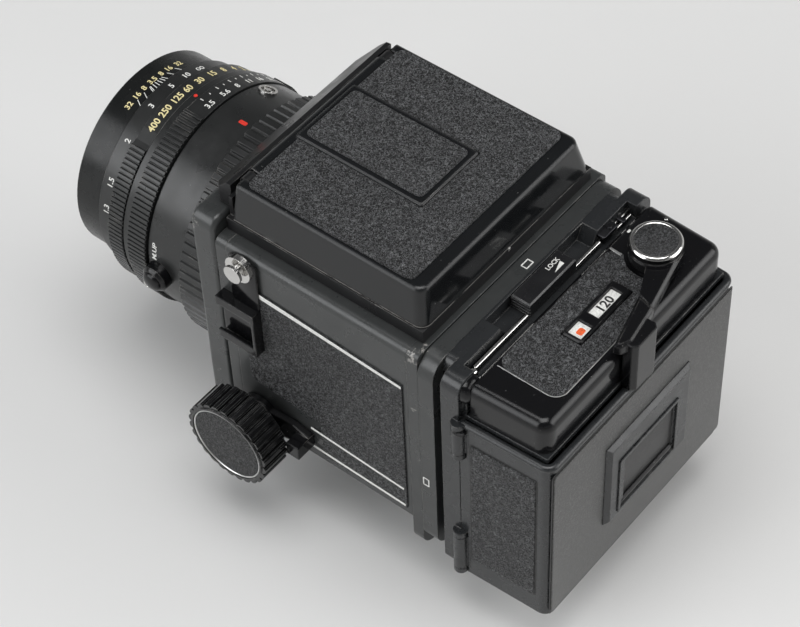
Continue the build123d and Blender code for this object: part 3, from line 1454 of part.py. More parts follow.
def make_film_insert():
    """The film gate plate with its two shelves that carry the spools and rollers."""
    foot = holder_foot + shelf_thickness
    bottom = lens_axis_height - spool_length / 2 - 0.4
    plate = block(-insert_half_width, insert_half_width - insert_wall, holder_front_rear,
                  holder_front_rear + insert_wall, foot, cover_top + 0.6)
    plate -= gate_window(holder_front_rear - 1, holder_front_rear + 3, 0.0)
    plate += block(-insert_half_width, insert_half_width - insert_wall, holder_front_rear, insert_rear,
                   bottom - 2.4, bottom)
    for x in (-insert_half_width + 0.8, insert_half_width - 2.4):
        plate += block(x - 0.8, x + 0.8, holder_front_rear, insert_rear - 20, foot, cover_top + 0.6)
    for x in (spool_axis_x, -spool_axis_x):
        plate -= rod_z(spool_pin_radius + running, x, spool_axis_y, bottom - 1.6, bottom + 1)
    for x in (roller_x, -roller_x):
        plate += rod_z(roller_radius, x, roller_y, bottom - 1, cover_top + 0.6)
        plate += block(x - roller_radius, x + roller_radius, holder_front_rear, roller_y,
                       cover_top - 1.6, cover_top + 0.6)
    return plate


def make_pressure_plate():
    y0 = holder_front_rear + insert_wall + 0.4
    half_width = film_gate_width / 2 + 1.5
    half_height = film_gate_height / 2 + 2.5
    return block(-half_width, half_width, y0, y0 + 1.2, lens_axis_height - half_height, lens_axis_height + half_height)


def make_spool(side):
    x, y = side * spool_axis_x, spool_axis_y
    z0 = lens_axis_height - spool_length / 2
    z1 = lens_axis_height + spool_length / 2
    spool = rod_z(spool_core_radius, x, y, z0, z1)
    spool += rod_z(spool_flange_radius, x, y, z0, z0 + 1.0) + rod_z(spool_flange_radius, x, y, z1 - 1.0, z1)
    spool += rod_z(spool_pin_radius, x, y, z0 - 1.9, z1 + 1.2)
    return spool - block(x - 0.6, x + 0.6, y - spool_core_radius - 1, y - 2.5, z0 + 14, z1 - 14)


# Back cover

def make_back_cover():
    top, foot = cover_top, cover_foot
    wall_front = holder_front_rear + seam
    half_front, half_rear = holder_half_at(wall_front), holder_half_at(cover_rear)
    cover = across_z([
        (half_front, wall_front), (half_rear, cover_rear), (-half_rear, cover_rear),
        (-holder_half_at(holder_wall_rear), holder_wall_rear + seam),
        (-holder_half_at(holder_wall_rear) + cover_wall, holder_wall_rear + seam),
        (-half_rear + cover_wall, cover_rear - cover_wall), (half_rear - cover_wall, cover_rear - cover_wall),
        (half_front - cover_wall, wall_front)], foot, top)
    cover = fillet(cover.edges().filter_by(Axis.Z).group_by(Axis.Y)[-1], cover_corner)
    inner_corners = cover.edges().filter_by(Axis.Z).filter_by(
        lambda e: abs(e.center().Y - cover_rear + cover_wall) < 0.01 and abs(e.center().X) > half_rear - cover_wall - 0.1)
    cover = fillet(inner_corners, cover_corner - cover_wall)
    for z0, z1 in hinge_spans():
        cover -= rod_z(hinge_barrel_radius + seam, hinge_axis_x, hinge_axis_y, z0 - seam - 2.4, z1 + seam + 2.4)
        cover += rod_z(hinge_barrel_radius, hinge_axis_x, hinge_axis_y, z0, z1)
        cover += block(hinge_axis_x - hinge_barrel_radius, half_front, hinge_axis_y + 0.6,
                       hinge_axis_y + hinge_barrel_radius + 1.2, z0, z1)
        cover -= rod_z(hinge_pin_radius + running, hinge_axis_x, hinge_axis_y, z0 - 1, z1 + 1)
    return cover


def make_memo_holder():
    frame = block(memo_right, memo_left, cover_rear, cover_rear + memo_depth, memo_foot, memo_top)
    frame = chamfer(frame.faces().sort_by(Axis.Y)[-1].edges(), 1.6)
    right, left, foot, top = memo_margins
    return frame - block(memo_right + right, memo_left - left, cover_rear + memo_depth - memo_recess, cover_rear + 5,
                         memo_foot + foot, memo_top - top)


def make_cover_latch():
    y, z = latch_y, latch_height
    outer = holder_half_at(latch_y - 5) + slide_gap
    latch = block(-outer - 2.2, -outer, y - 5, y + 4, z - latch_half_height, z + latch_half_height)
    latch = chamfer(latch.faces().sort_by(Axis.X)[0].edges(), 0.8)
    for i in range(4):
        groove = z - 4.8 + i * 3.2
        latch -= block(-outer - 3, -outer - 1.7, y - 6, y + 5, groove - 0.5, groove + 0.5)
    return latch + block(-outer, -outer + 3.4, y - 1.5, y + 1.5, z - 5, z + 5)


# Writing the nodes

save(make_front_frame(), "front_frame")
save(make_mirror_box(), "mirror_box")
save(make_rear_flange(), "rear_flange")
save(make_base(), "base_casting")
save(make_side_leather(1), "side_leather_left")
save(make_side_leather(-1), "side_leather_right")
save(make_strap_lug(1) + make_strap_lug(-1), "strap_lugs")
save(make_accessory_shoe(), "accessory_shoe")
save(make_screen(), "focusing_screen")
save(make_finder_base(), "finder_base")
save(make_focus_axle(), "focus_axle")
save(make_focus_knob(1), "focus_knob_left")
save(make_focus_knob(-1), "focus_knob_right")
save(make_focus_lock_lever(), "focus_lock_lever")
save(make_front_standard(), "front_standard")
save(make_focus_rack(1), "focus_rack_left")
save(make_focus_rack(-1), "focus_rack_right")
save(make_bellows(), "bellows")
save(make_lens_tube(), "lens_tube")
save(make_front_barrel(), "front_barrel")
save(make_plain_ring(distance_ring_radius, front_barrel_end, distance_ring_end), "distance_ring")
save(make_shutter_ring(), "shutter_speed_ring")
save(make_index_band(), "index_band")
save(make_aperture_ring(), "aperture_ring")
save(make_rear_barrel(), "rear_barrel")
save(make_flash_socket(), "flash_socket")
save(make_mirror_up_socket(), "mirror_up_socket")
save(make_lock_ring(), "lens_lock_ring")
save(make_front_glass(), "front_glass")
save(make_rear_glass(), "rear_glass")
save(make_shutter_blades(), "shutter_blades")
save(make_mirror_frame(), "mirror_frame")
save(make_mirror_glass(), "mirror_glass")
save(make_light_flap(), "light_flap")
save(make_lid(), "finder_lid")
save(make_lid_leather(), "lid_leather")
save(make_side_leaf(1), "hood_leaf_left")
save(make_side_leaf(-1), "hood_leaf_right")
save(make_rear_leaf(), "hood_leaf_rear")
save(make_magnifier_frame(), "magnifier_frame")
save(make_magnifier_glass(), "magnifier_glass")
save(make_shutter_button(), "shutter_button")
save(make_release_collar(), "release_lock_collar")
save(make_cocking_lever(), "cocking_lever")
save(make_multiple_lever(), "multiple_exposure_lever")
save(make_adapter(), "revolving_adapter")
save(make_holder_case(), "holder_case")
save(make_gear_housing(), "gear_housing")
save(make_top_leather(), "top_leather")
save(make_film_insert(), "film_insert")
save(make_lock_block(True), "slide_lock_top")
save(make_lock_block(False), "slide_lock_bottom")
save(make_dark_slide(), "dark_slide")
save(make_advance_lever(), "advance_lever")
save(make_pressure_plate(), "pressure_plate")
save(make_spool(1), "supply_spool")
save(make_spool(-1), "take_up_spool")
save(make_back_cover(), "back_cover")
save(make_memo_holder(), "memo_holder")
save(make_cover_latch(), "cover_latch")
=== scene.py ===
"""Looks of a medium format film camera with bellows focusing and a revolving back.

Sizes are millimetres until a mesh is made, which turns them into metres. Noise
in the finishes is sized in metres. The lens looks along -Y, +X is the
photographer's left and +Z is up.
"""

import math

import bmesh
import bpy
import numpy as np
from mathutils import Matrix, Vector


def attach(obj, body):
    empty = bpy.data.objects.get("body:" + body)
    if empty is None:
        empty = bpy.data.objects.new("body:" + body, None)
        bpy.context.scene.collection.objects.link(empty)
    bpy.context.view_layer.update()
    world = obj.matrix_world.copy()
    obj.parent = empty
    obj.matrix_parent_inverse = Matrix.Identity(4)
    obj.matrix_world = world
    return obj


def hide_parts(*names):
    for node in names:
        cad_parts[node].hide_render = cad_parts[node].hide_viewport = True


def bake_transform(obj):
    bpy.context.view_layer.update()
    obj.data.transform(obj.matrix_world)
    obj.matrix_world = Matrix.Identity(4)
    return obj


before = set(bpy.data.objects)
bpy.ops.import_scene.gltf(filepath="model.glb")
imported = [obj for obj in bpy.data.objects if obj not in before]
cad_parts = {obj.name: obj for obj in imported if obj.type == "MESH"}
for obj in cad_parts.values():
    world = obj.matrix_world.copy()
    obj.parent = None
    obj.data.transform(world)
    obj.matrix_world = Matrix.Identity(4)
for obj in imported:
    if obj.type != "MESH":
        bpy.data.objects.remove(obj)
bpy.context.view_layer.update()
millimetre = 0.001

# Where the photographer's camera stood, and how it was turned
view_place = (432.66, 366.20, 727.10)
view_azimuth = 130.84
view_elevation = 49.30
view_roll = -2.83
view_lens = 109.9
view_sensor = 36.0

# The studio
paper_white = (0.72, 0.715, 0.705)
sky_colour = (0.80, 0.81, 0.83)
sky_strength = 0.13
light_target = (0.0, 0.0, 0.08)

# The lens and its rings
lens_axis_height = 74.4
distance_scale_radius = 41.2
distance_scale_y = -111.2
depth_scale_radius = 39.7
depth_scale_y = -119.0
speed_scale_radius = 43.0
speed_scale_y = -104.1
index_band_radius = 43.8
index_dot_y = -98.8
index_dot_angle = 89.5
stop_scale_radius = 44.6
stop_scale_y = -91.2
stop_tick_y = -95.0
rear_barrel_radius = 44.1
mount_mark_y = -75.9
paint_rise = 0.03
paint_depth = 0.10
capital_share = 0.72
top_angle = 89.0
scale_number_height = 2.4
scale_number_weight = 0.05
depth_number_height = 2.3
depth_number_weight = 0.06
depth_number_shift = -0.9
depth_line_size = (0.30, 2.6)
depth_line_shift = 1.9
depth_line_spread = 0.80
mirror_up_y = -84.8
mirror_up_label_angle = 10.4
boss_angle = -2.0
boss_y = -82.5
boss_top = 48.7
boss_screw_angle = -7.6
boss_screw_y = -86.0
boss_screw_top = 48.0
glass_radius = 30.95
glass_edge = 4.0
glass_bulge = 3.2
glass_rear_bulge = 0.4
glass_edge_y = -118.3

# The bellows sleeve
sleeve_front = -51.4
sleeve_rear = -40.2
sleeve_half_width = 43.0
sleeve_height = 78.4
sleeve_middle = 79.8
sleeve_corner = 2.2
pleat_depth = 2.5
cloth_thickness = 0.45

# The body and its covering
side_face = 52.0
leather_rise = 0.6
lid_panel_top = 146.0
lid_foot = 130.4
flange_edge_y = 43.2
knob_face = 71.1
knob_axle_y = -29.6
knob_axle_height = 42.7
lever_hub_x = -30.4
lever_hub_y = 78.7
lever_hub_top = 131.6
rod_height = 119.9
rod_y = 58.3
rod_radius = 0.95
lock_block_top = 124.5
cover_front = 61.0
cover_rear = 97.0
cover_top = 105.6
cover_front_half = 53.4
cover_draw = 1.4
patch_y = 78.6
patch_height = 65.8
memo_face = 99.5
hinge_x = 53.6
hinge_y = 61.0
hinge_top = 103.1
counter_floor = 123.5
counter_y = 77.6
housing_top = 123.1
leather_top = 123.7
plate_middle = 64.3
memo_x = -1.0
memo_middle = 63.0
strap_lug_y = -30.8
strap_lug_height = 111.6

# Directions that flat things are laid along: across and up
plan = ((1, 0, 0), (0, 1, 0))
read_from_behind = ((-1, 0, 0), (0, -1, 0))
rear_view = ((-1, 0, 0), (0, 0, 1))
sideways, rearwards, upwards = (1, 0, 0), (0, 1, 0), (0, 0, 1)


# Finishes

class Finish:
    """A material being built up from noise, cells and bevels in the piece's own coordinates."""

    def __init__(self, name, colour, roughness, metal=0.0, **more):
        self.material = bpy.data.materials.new(name)
        self.material.use_nodes = True
        self.nodes = self.material.node_tree.nodes
        self.links = self.material.node_tree.links
        self.shader = self.nodes["Principled BSDF"]
        self.shader.inputs["Base Color"].default_value = (*colour, 1.0)
        self.shader.inputs["Roughness"].default_value = roughness
        self.shader.inputs["Metallic"].default_value = metal
        for socket, value in more.items():
            self.shader.inputs[socket.replace("_", " ")].default_value = value
        self.place = self.nodes.new("ShaderNodeTexCoord").outputs["Object"]

    def add(self, kind, inputs, output, **settings):
        """A shader node whose inputs are linked or set, and one of its outputs."""
        node = self.nodes.new("ShaderNode" + kind)
        for key, value in settings.items():
            setattr(node, key, value)
        for key, value in inputs.items():
            if isinstance(value, bpy.types.NodeSocket):
                self.links.new(value, node.inputs[key])
            else:
                node.inputs[key].default_value = value
        return node.outputs[output]

    def stretched(self, x, y, z):
        """The piece's coordinates scaled along each axis, for grain that runs one way."""
        return self.add("Mapping", {"Vector": self.place, "Scale": (x, y, z)}, "Vector")

    def noise(self, size, detail=3.0, rough=0.5, place=None):
        inputs = {"Vector": place or self.place, "Scale": 1.0 / size, "Detail": detail, "Roughness": rough}
        return self.add("TexNoise", inputs, "Fac")

    def cells(self, size, feature="F1", place=None):
        inputs = {"Vector": place or self.place, "Scale": 1.0 / size}
        return self.add("TexVoronoi", inputs, "Distance", feature=feature)

    def spread(self, value, low, high, start=0.0, end=1.0):
        """The value's range from low to high, stretched to run from start to end."""
        inputs = {"Value": value, "From Min": low, "From Max": high, "To Min": start, "To Max": end}
        return self.add("MapRange", inputs, "Result")

    def sum(self, operation, first, second):
        """One piece of arithmetic on two values."""
        return self.add("Math", {0: first, 1: second}, 0, operation=operation)

    def blend(self, amount, first, second):
        first = first if isinstance(first, bpy.types.NodeSocket) else (*first, 1.0)
        second = second if isinstance(second, bpy.types.NodeSocket) else (*second, 1.0)
        return self.add("Mix", {0: amount, 6: first, 7: second}, 2, data_type="RGBA")

    def soft_edge(self, radius):
        """The surface's normal with every edge rounded to a radius."""
        return self.add("Bevel", {"Radius": radius * millimetre}, "Normal", samples=4)

    def edges(self, radius):
        """1 on sharp edges and 0 away from them: how far the rounded normal leans from the flat one."""
        flat = self.add("NewGeometry", {}, "Normal")
        agree = self.add("VectorMath", {0: self.soft_edge(radius), 1: flat}, "Value", operation="DOT_PRODUCT")
        return self.spread(agree, 0.995, 0.88)

    def bump(self, height, depth, strength=1.0, normal=None):
        inputs = {"Height": height, "Distance": depth * millimetre, "Strength": strength}
        if normal is not None:
            inputs["Normal"] = normal
        return self.add("Bump", inputs, "Normal")

    def near(self, x, y, z, radius):
        """1 at a point of the object and 0 a radius away from it."""
        point = (x * millimetre, y * millimetre, z * millimetre)
        away = self.add("VectorMath", {0: self.place, 1: point}, "Value", operation="DISTANCE")
        return self.spread(away, radius * millimetre, 0.0)

    def use(self, **sockets):
        for key, value in sockets.items():
            self.links.new(value, self.shader.inputs[key.replace("_", " ")])
        return self.material


def dusty(finish, colour, amount=0.74):
    """Adds sparse pale specks of dust, where fine noise passes a threshold."""
    specks = finish.spread(finish.noise(0.0009, 2.0), amount, amount + 0.05)
    return finish.blend(specks, colour, (0.12, 0.12, 0.115))


def painted_metal(name, colour, roughness, wear=0.5, chips=(), scratched=(), coat=0.0, shine=0.5, soft=0.35):
    """Black paint over metal: faint orange peel, cloudy gloss, and grey metal where edges are rubbed.

    Chips are (x, y, z, radius) places where flakes have come off, and scratched are (z, half width)
    levels at which a long edge has lost its paint. Soft is the radius that edges seem to have.
    """
    finish = Finish(name, colour, roughness, Coat_Weight=coat, Coat_Roughness=0.06, Specular_IOR_Level=shine)
    patches = finish.spread(finish.noise(0.010, 5.0, 0.65), 0.52 - 0.10 * wear, 0.66)
    rubbed = finish.sum("MULTIPLY", finish.edges(0.35), patches)
    fine = finish.spread(finish.noise(0.0024, 8.0, 0.75), 0.50, 0.58)
    for x, y, z, radius in chips:
        spot = finish.sum("MULTIPLY", finish.near(x, y, z, radius), fine)
        rubbed = finish.sum("MAXIMUM", rubbed, finish.spread(spot, 0.34, 0.50))
    for z, half in scratched:
        level = finish.add("SeparateXYZ", {0: finish.place}, "Z")
        away = finish.sum("ABSOLUTE", finish.sum("SUBTRACT", level, z * millimetre), 0.0)
        line = finish.spread(away, half * millimetre, 0.5 * half * millimetre)
        broken = finish.spread(finish.noise(0.012, 5.0, 0.7), 0.40, 0.50)
        rubbed = finish.sum("MAXIMUM", rubbed, finish.sum("MULTIPLY", line, broken))
    shade = finish.blend(finish.noise(0.030, 3.0), colour, tuple(1.5 * part + 0.003 for part in colour))
    tone = finish.blend(rubbed, dusty(finish, shade), (0.26, 0.25, 0.235))
    cloudy = finish.spread(finish.noise(0.008, 6.0, 0.6), 0.3, 0.7, roughness - 0.05, roughness + 0.08)
    peel = finish.bump(finish.noise(0.0011, 2.0), 0.010, 1.0, finish.soft_edge(soft))
    return finish.use(Base_Color=tone, Roughness=cloudy, Normal=peel)


def wrinkled_leather(name, cell=0.9, pale=0.14, depth=0.20, patchy=0.35):
    """Covering with fine winding wrinkles: pale ridges follow the middle level of a folded noise, and black
    creases lie between them. The ridges' pale colour is a painted highlight, where the grain's tops catch the
    light. A coarser noise makes some patches paler than others."""
    finish = Finish(name, (0.02, 0.02, 0.02), 0.45, Specular_IOR_Level=0.5)
    inputs = {"Vector": finish.place, "Scale": 1.0 / (cell * millimetre), "Detail": 4.0, "Distortion": 1.0}
    folded = finish.add("TexNoise", inputs, "Fac")
    away = finish.sum("ABSOLUTE", finish.sum("SUBTRACT", folded, 0.5), 0.0)
    ridge = finish.spread(away, 0.055, 0.008)
    patches = finish.spread(finish.noise(2.2 * cell * millimetre, 3.0), 0.35, 0.65, patchy, 1.0)
    amount = finish.sum("MULTIPLY", ridge, patches)
    # Painted highlight: the ridges are coloured pale where the grain's tops catch the light, and between them
    # the leather is black
    tone = finish.blend(amount, (0.004, 0.004, 0.0045), (pale, 1.02 * pale, 1.05 * pale))
    grain = finish.bump(ridge, depth, 1.0, finish.soft_edge(0.3))
    return finish.use(Base_Color=tone, Roughness=finish.spread(ridge, 0.0, 1.0, 0.60, 0.38), Normal=grain)


def spattered_paint(name, colour, roughness):
    """Textured enamel: fine crowded specks stand up and shine a little, and their tops are also painted paler
    as a highlight.
    """
    finish = Finish(name, colour, roughness, Specular_IOR_Level=0.55)
    specks = finish.spread(finish.cells(0.00062, "F1"), 0.15, 0.60, 1.0, 0.0)
    shades = finish.add("TexVoronoi", {"Vector": finish.place, "Scale": 1600.0}, "Color")
    # Painted highlight: the raised specks are coloured paler than the enamel, with random shades from cell to
    # cell
    tone = finish.blend(finish.sum("MULTIPLY", specks, finish.spread(shades, 0.2, 0.9)), colour,
                        tuple(3.4 * part + 0.012 for part in colour))
    rubbed = finish.sum("MULTIPLY", finish.edges(0.4), finish.spread(finish.noise(0.006, 4.0), 0.42, 0.6))
    tone = finish.blend(rubbed, tone, (0.16, 0.155, 0.145))
    grain = finish.bump(specks, 0.045, 1.0, finish.soft_edge(0.35))
    return finish.use(Base_Color=tone, Normal=grain)


def bright_metal(name, colour, roughness, turned=False):
    """Plated metal: fine scratches, or lathe lines where it was turned, and a cloudy polish."""
    finish = Finish(name, colour, roughness, metal=1.0)
    place = finish.stretched(1.0, 30.0, 1.0) if turned else finish.place
    scratches = finish.noise(0.0007, 6.0, 0.7, place)
    cloudy = finish.spread(scratches, 0.35, 0.7, roughness - 0.06, roughness + 0.14)
    tone = finish.blend(finish.noise(0.004, 3.0), colour, tuple(0.72 * part for part in colour))
    lines = finish.bump(scratches, 0.004, 1.0, finish.soft_edge(0.15))
    return finish.use(Base_Color=tone, Roughness=cloudy, Normal=lines)


def moulded_plastic(name, colour, roughness):
    """Black moulding with a fine spark-eroded texture and rubbed corners."""
    finish = Finish(name, colour, roughness)
    fine = finish.noise(0.00035, 3.0)
    rubbed = finish.sum("MULTIPLY", finish.edges(0.3), finish.spread(finish.noise(0.004, 4.0), 0.35, 0.6))
    tone = finish.blend(rubbed, dusty(finish, colour), (0.22, 0.22, 0.215))
    grain = finish.bump(fine, 0.012, 1.0, finish.soft_edge(0.3))
    cloudy = finish.spread(finish.noise(0.006, 4.0), 0.3, 0.7, roughness - 0.06, roughness + 0.08)
    return finish.use(Base_Color=tone, Roughness=cloudy, Normal=grain)


def sign_paint(name, colour):
    """Filled engraving or printed marks, slightly uneven and chalky."""
    finish = Finish(name, colour, 0.5)
    chalky = finish.spread(finish.noise(0.0006, 4.0), 0.4, 0.75)
    tone = finish.blend(chalky, colour, tuple(0.62 * part for part in colour))
    grain = finish.bump(finish.noise(0.0003, 2.0), 0.01)
    return finish.use(Base_Color=tone, Normal=grain)


def coated_glass(name, tint, coat_colour):
    """Clear glass under a thin coating: the coat tints its reflections a little, with faint dust."""
    finish = Finish(name, tint, 0.02, Transmission_Weight=0.92, IOR=1.52,
                    Specular_Tint=(*coat_colour, 1.0), Coat_Weight=0.15, Coat_Roughness=0.02)
    dust = finish.spread(finish.noise(0.0040, 4.0), 0.62, 0.80, 0.01, 0.05)
    return finish.use(Roughness=dust, Normal=finish.bump(finish.noise(0.05, 1.0), 0.002))


def glass_with_painted_shade(name, colour, coat_colour):
    """A lens seen from outside, drawn opaque: its dark base colour is painted shade for the lens's dark
    inside, under a smooth tinted reflection and faint dust.
    """
    finish = Finish(name, colour, 0.03, Specular_Tint=(*coat_colour, 1.0), IOR=1.6)
    dust = finish.spread(finish.noise(0.006, 3.0), 0.55, 0.80, 0.02, 0.07)
    tone = finish.blend(finish.noise(0.05, 2.0), colour, tuple(1.6 * part for part in colour))
    return finish.use(Base_Color=tone, Roughness=dust)


def woven_cloth(name, colour):
    """Rubberised cloth: crossed fine threads raise the surface, and creases are rubbed paler."""
    finish = Finish(name, colour, 0.72, Sheen_Weight=0.15)
    waves = {"Vector": finish.place, "Scale": 700.0, "Distortion": 0.4}
    across = finish.add("TexWave", waves, "Fac", bands_direction="X")
    along = finish.add("TexWave", waves, "Fac", bands_direction="Z")
    threads = finish.sum("ADD", across, along)
    tone = finish.blend(finish.noise(0.006, 4.0), colour, tuple(2.4 * part for part in colour))
    return finish.use(Base_Color=tone, Normal=finish.bump(threads, 0.03))


# Places where flakes have come off, as (x, y, z, radius)
body_chips = (
    (52, flange_edge_y - 3, 122, 6), (48, flange_edge_y - 1, 125, 4.5), (52, -54, 126, 6), (46, -54, 129, 5),
    (-52, -50, 130, 6), (52, -50, 50, 4), (52, 41, 96, 2.5), (52, 42, 70, 2), (52, 12, 30, 2),
)
body_paint = painted_metal("body_paint", (0.024, 0.0255, 0.0255), 0.29, wear=0.6, chips=body_chips, soft=0.5)
lid_paint = painted_metal("lid_paint", (0.004, 0.0045, 0.005), 0.09, wear=0.10,
                          scratched=((lid_foot, 0.36),), coat=0.12, shine=0.42, soft=1.5)
finder_paint = painted_metal("finder_paint", (0.006, 0.006, 0.0065), 0.30, wear=0.35, shine=0.35)
housing_paint = painted_metal("housing_paint", (0.003, 0.003, 0.0035), 0.11, wear=0.10, coat=0.06,
                              shine=0.30, soft=1.1)
back_paint = painted_metal("back_paint", (0.012, 0.013, 0.014), 0.26, wear=0.35, soft=0.6)
cover_paint = spattered_paint("cover_paint", (0.034, 0.034, 0.033), 0.30)
# A darker copy of the cover's grain, as painted shade for the memo frame's recessed floor
grain_painted_shade = spattered_paint("grain_painted_shade", (0.008, 0.008, 0.008), 0.36)
lens_finish = painted_metal("lens_finish", (0.010, 0.0105, 0.0105), 0.29, wear=0.03)
front_finish = painted_metal("front_finish", (0.005, 0.0055, 0.0055), 0.26, wear=0.03, shine=0.32)
ring_rubber = painted_metal("ring_rubber", (0.010, 0.0105, 0.0105), 0.32, wear=0.05)
inside_black = painted_metal("inside_black", (0.007, 0.007, 0.007), 0.55, wear=0.0)
leather = wrinkled_leather("body_leather", cell=0.95, pale=0.25, depth=0.34, patchy=0.6)
fine_leather = wrinkled_leather("fine_leather", cell=0.85, pale=0.16, depth=0.26, patchy=0.7)
top_grain = wrinkled_leather("top_grain", cell=1.05, pale=0.25, depth=0.32, patchy=0.6)
chrome = bright_metal("chrome_plate", (0.78, 0.77, 0.75), 0.14)
steel = bright_metal("machined_steel", (0.50, 0.50, 0.50), 0.28, turned=True)
dark_steel = bright_metal("blackened_steel", (0.06, 0.06, 0.065), 0.34)
silvered = bright_metal("silvered_face", (0.90, 0.90, 0.90), 0.07)
silver_rim = bright_metal("silver_rim", (0.80, 0.80, 0.79), 0.32)
plastic = moulded_plastic("black_moulding", (0.009, 0.009, 0.010), 0.26)
knob_plastic = moulded_plastic("knob_moulding", (0.005, 0.005, 0.0055), 0.16)
white_paint = sign_paint("white_paint", (0.80, 0.80, 0.77))
cream_paint = sign_paint("cream_paint", (0.78, 0.68, 0.36))
red_paint = sign_paint("red_paint", (0.72, 0.035, 0.02))
orange_paint = sign_paint("orange_paint", (0.85, 0.13, 0.03))
# Black ink for printed numbers, also used as painted shade: the dark seams round the cover's panels and the
# well in a screw head
ink_and_painted_shade = sign_paint("black_ink_and_painted_shade", (0.015, 0.015, 0.015))
lens_glass = coated_glass("lens_glass", (0.93, 0.95, 0.96), (0.55, 0.45, 0.95))
screen_glass = coated_glass("screen_glass", (0.86, 0.89, 0.88), (1.0, 1.0, 1.0))
# The front glass is an opaque surface whose dark colour is painted shade for the inside of the lens
front_glass = glass_with_painted_shade("front_glass_painted_shade", (0.008, 0.007, 0.013), (0.62, 0.50, 0.95))
bellows_cloth = woven_cloth("bellows_cloth", (0.012, 0.012, 0.012))

# Which nodes wear each finish
dressed_nodes = (
    (body_paint, "front_standard mirror_box front_frame rear_flange base_casting revolving_adapter"),
    (lid_paint, "finder_lid"),
    (finder_paint, "finder_base"),
    (housing_paint, "gear_housing accessory_shoe advance_lever focus_lock_lever mirror_up_socket"),
    (back_paint, "holder_case back_cover cover_latch cocking_lever release_lock_collar memo_holder"),
    (plastic, "slide_lock_top slide_lock_bottom supply_spool take_up_spool"),
    (knob_plastic, "focus_knob_left focus_knob_right"),
    (front_finish, "front_barrel"),
    (lens_finish, "index_band rear_barrel"),
    (ring_rubber, "distance_ring shutter_speed_ring aperture_ring lens_lock_ring"),
    (leather, "side_leather_left side_leather_right lid_leather"),
    (top_grain, "top_leather"),
    (chrome, "strap_lugs flash_socket shutter_button multiple_exposure_lever"),
    (steel, "focus_axle focus_rack_left focus_rack_right dark_slide"),
    (inside_black, "lens_tube mirror_frame light_flap hood_leaf_left hood_leaf_right hood_leaf_rear"),
    (inside_black, "magnifier_frame pressure_plate film_insert"),
    (silvered, "mirror_glass"),
    (dark_steel, "shutter_blades"),
    (lens_glass, "front_glass rear_glass magnifier_glass"),
    (screen_glass, "focusing_screen"),
    (bellows_cloth, "bellows"),
)
node_finishes = {name: finish for finish, names in dressed_nodes for name in names.split()}
for node_name, node_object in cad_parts.items():
    node_object.data.materials.clear()
    node_object.data.materials.append(node_finishes.get(node_name, body_paint))


# Shapes, each worked out as one array of points

def grid_faces(rows, columns, close_rows=False, close_columns=False):
    """Four-sided faces between neighbouring rows and columns of a grid of points."""
    index = np.arange(rows * columns).reshape(rows, columns)
    if close_rows:
        index = np.vstack([index, index[:1]])
    if close_columns:
        index = np.hstack([index, index[:, :1]])
    quads = np.stack([index[:-1, :-1], index[1:, :-1], index[1:, 1:], index[:-1, 1:]], axis=-1)
    return quads.reshape(-1, 4).tolist()


def make_piece(name, points, faces, material, body, stands_for=(), smooth=True):
    """One object: millimetre points become a closed metre mesh whose faces point outwards."""
    mesh = bpy.data.meshes.new(name)
    mesh.from_pydata((np.asarray(points).reshape(-1, 3) * millimetre).tolist(), [], faces)
    shell = bmesh.new()
    shell.from_mesh(mesh)
    bmesh.ops.remove_doubles(shell, verts=shell.verts, dist=1e-7)
    bmesh.ops.recalc_face_normals(shell, faces=shell.faces)
    shell.to_mesh(mesh)
    shell.free()
    if smooth:
        mesh.shade_smooth()
        mesh.set_sharp_from_angle(angle=math.radians(35))
    mesh.materials.append(material)
    piece = bpy.data.objects.new(name, mesh)
    bpy.context.scene.collection.objects.link(piece)
    if isinstance(body, str):
        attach(piece, body)
    if stands_for:
        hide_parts(*stands_for)
    return piece


def joined(shapes):
    """Several (points, faces) shapes as one."""
    points, faces, offset = [], [], 0
    for some_points, some_faces in shapes:
        points.append(np.asarray(some_points, float).reshape(-1, 3))
        faces += [[corner + offset for corner in face] for face in some_faces]
        offset += len(points[-1])
    return np.vstack(points), faces


def turned(profile, centre, axis, steps=96):
    """A surface of revolution: a closed (radius, height) profile carried round an axis."""
    profile = np.asarray(profile, float)
    axis = np.array(Vector(axis).normalized())
    side = np.array(Vector(axis).orthogonal().normalized())
    other = np.cross(axis, side)
    turn = np.linspace(0, 2 * math.pi, steps, endpoint=False)[:, None, None]
    round_about = np.cos(turn) * side + np.sin(turn) * other
    points = np.asarray(centre) + profile[None, :, :1] * round_about + profile[None, :, 1:] * axis
    return points.reshape(-1, 3), grid_faces(steps, len(profile), True, True)


def rounded_rectangle(width, height, corner, steps=8):
    """Points round a rectangle whose corners are quarter circles of a radius."""
    quarter = np.linspace(0, math.pi / 2, steps)
    angle = (np.arange(4)[:, None] * math.pi / 2 + quarter).ravel()
    side_x = np.repeat([1, -1, -1, 1], steps) * (width / 2 - corner)
    side_y = np.repeat([1, 1, -1, -1], steps) * (height / 2 - corner)
    return np.stack([side_x + corner * np.cos(angle), side_y + corner * np.sin(angle)], axis=-1)


def laid(flat, place, right, up):
    """Flat (x, y) or (x, y, height) points laid on a plane through a place."""
    flat = np.asarray(flat, float)
    right, up = np.asarray(right, float), np.asarray(up, float)
    height = flat[..., 2:3] if flat.shape[-1] == 3 else 0.0
    lifted = height * np.cross(right, up)
    return np.asarray(place) + flat[..., :1] * right + flat[..., 1:2] * up + lifted


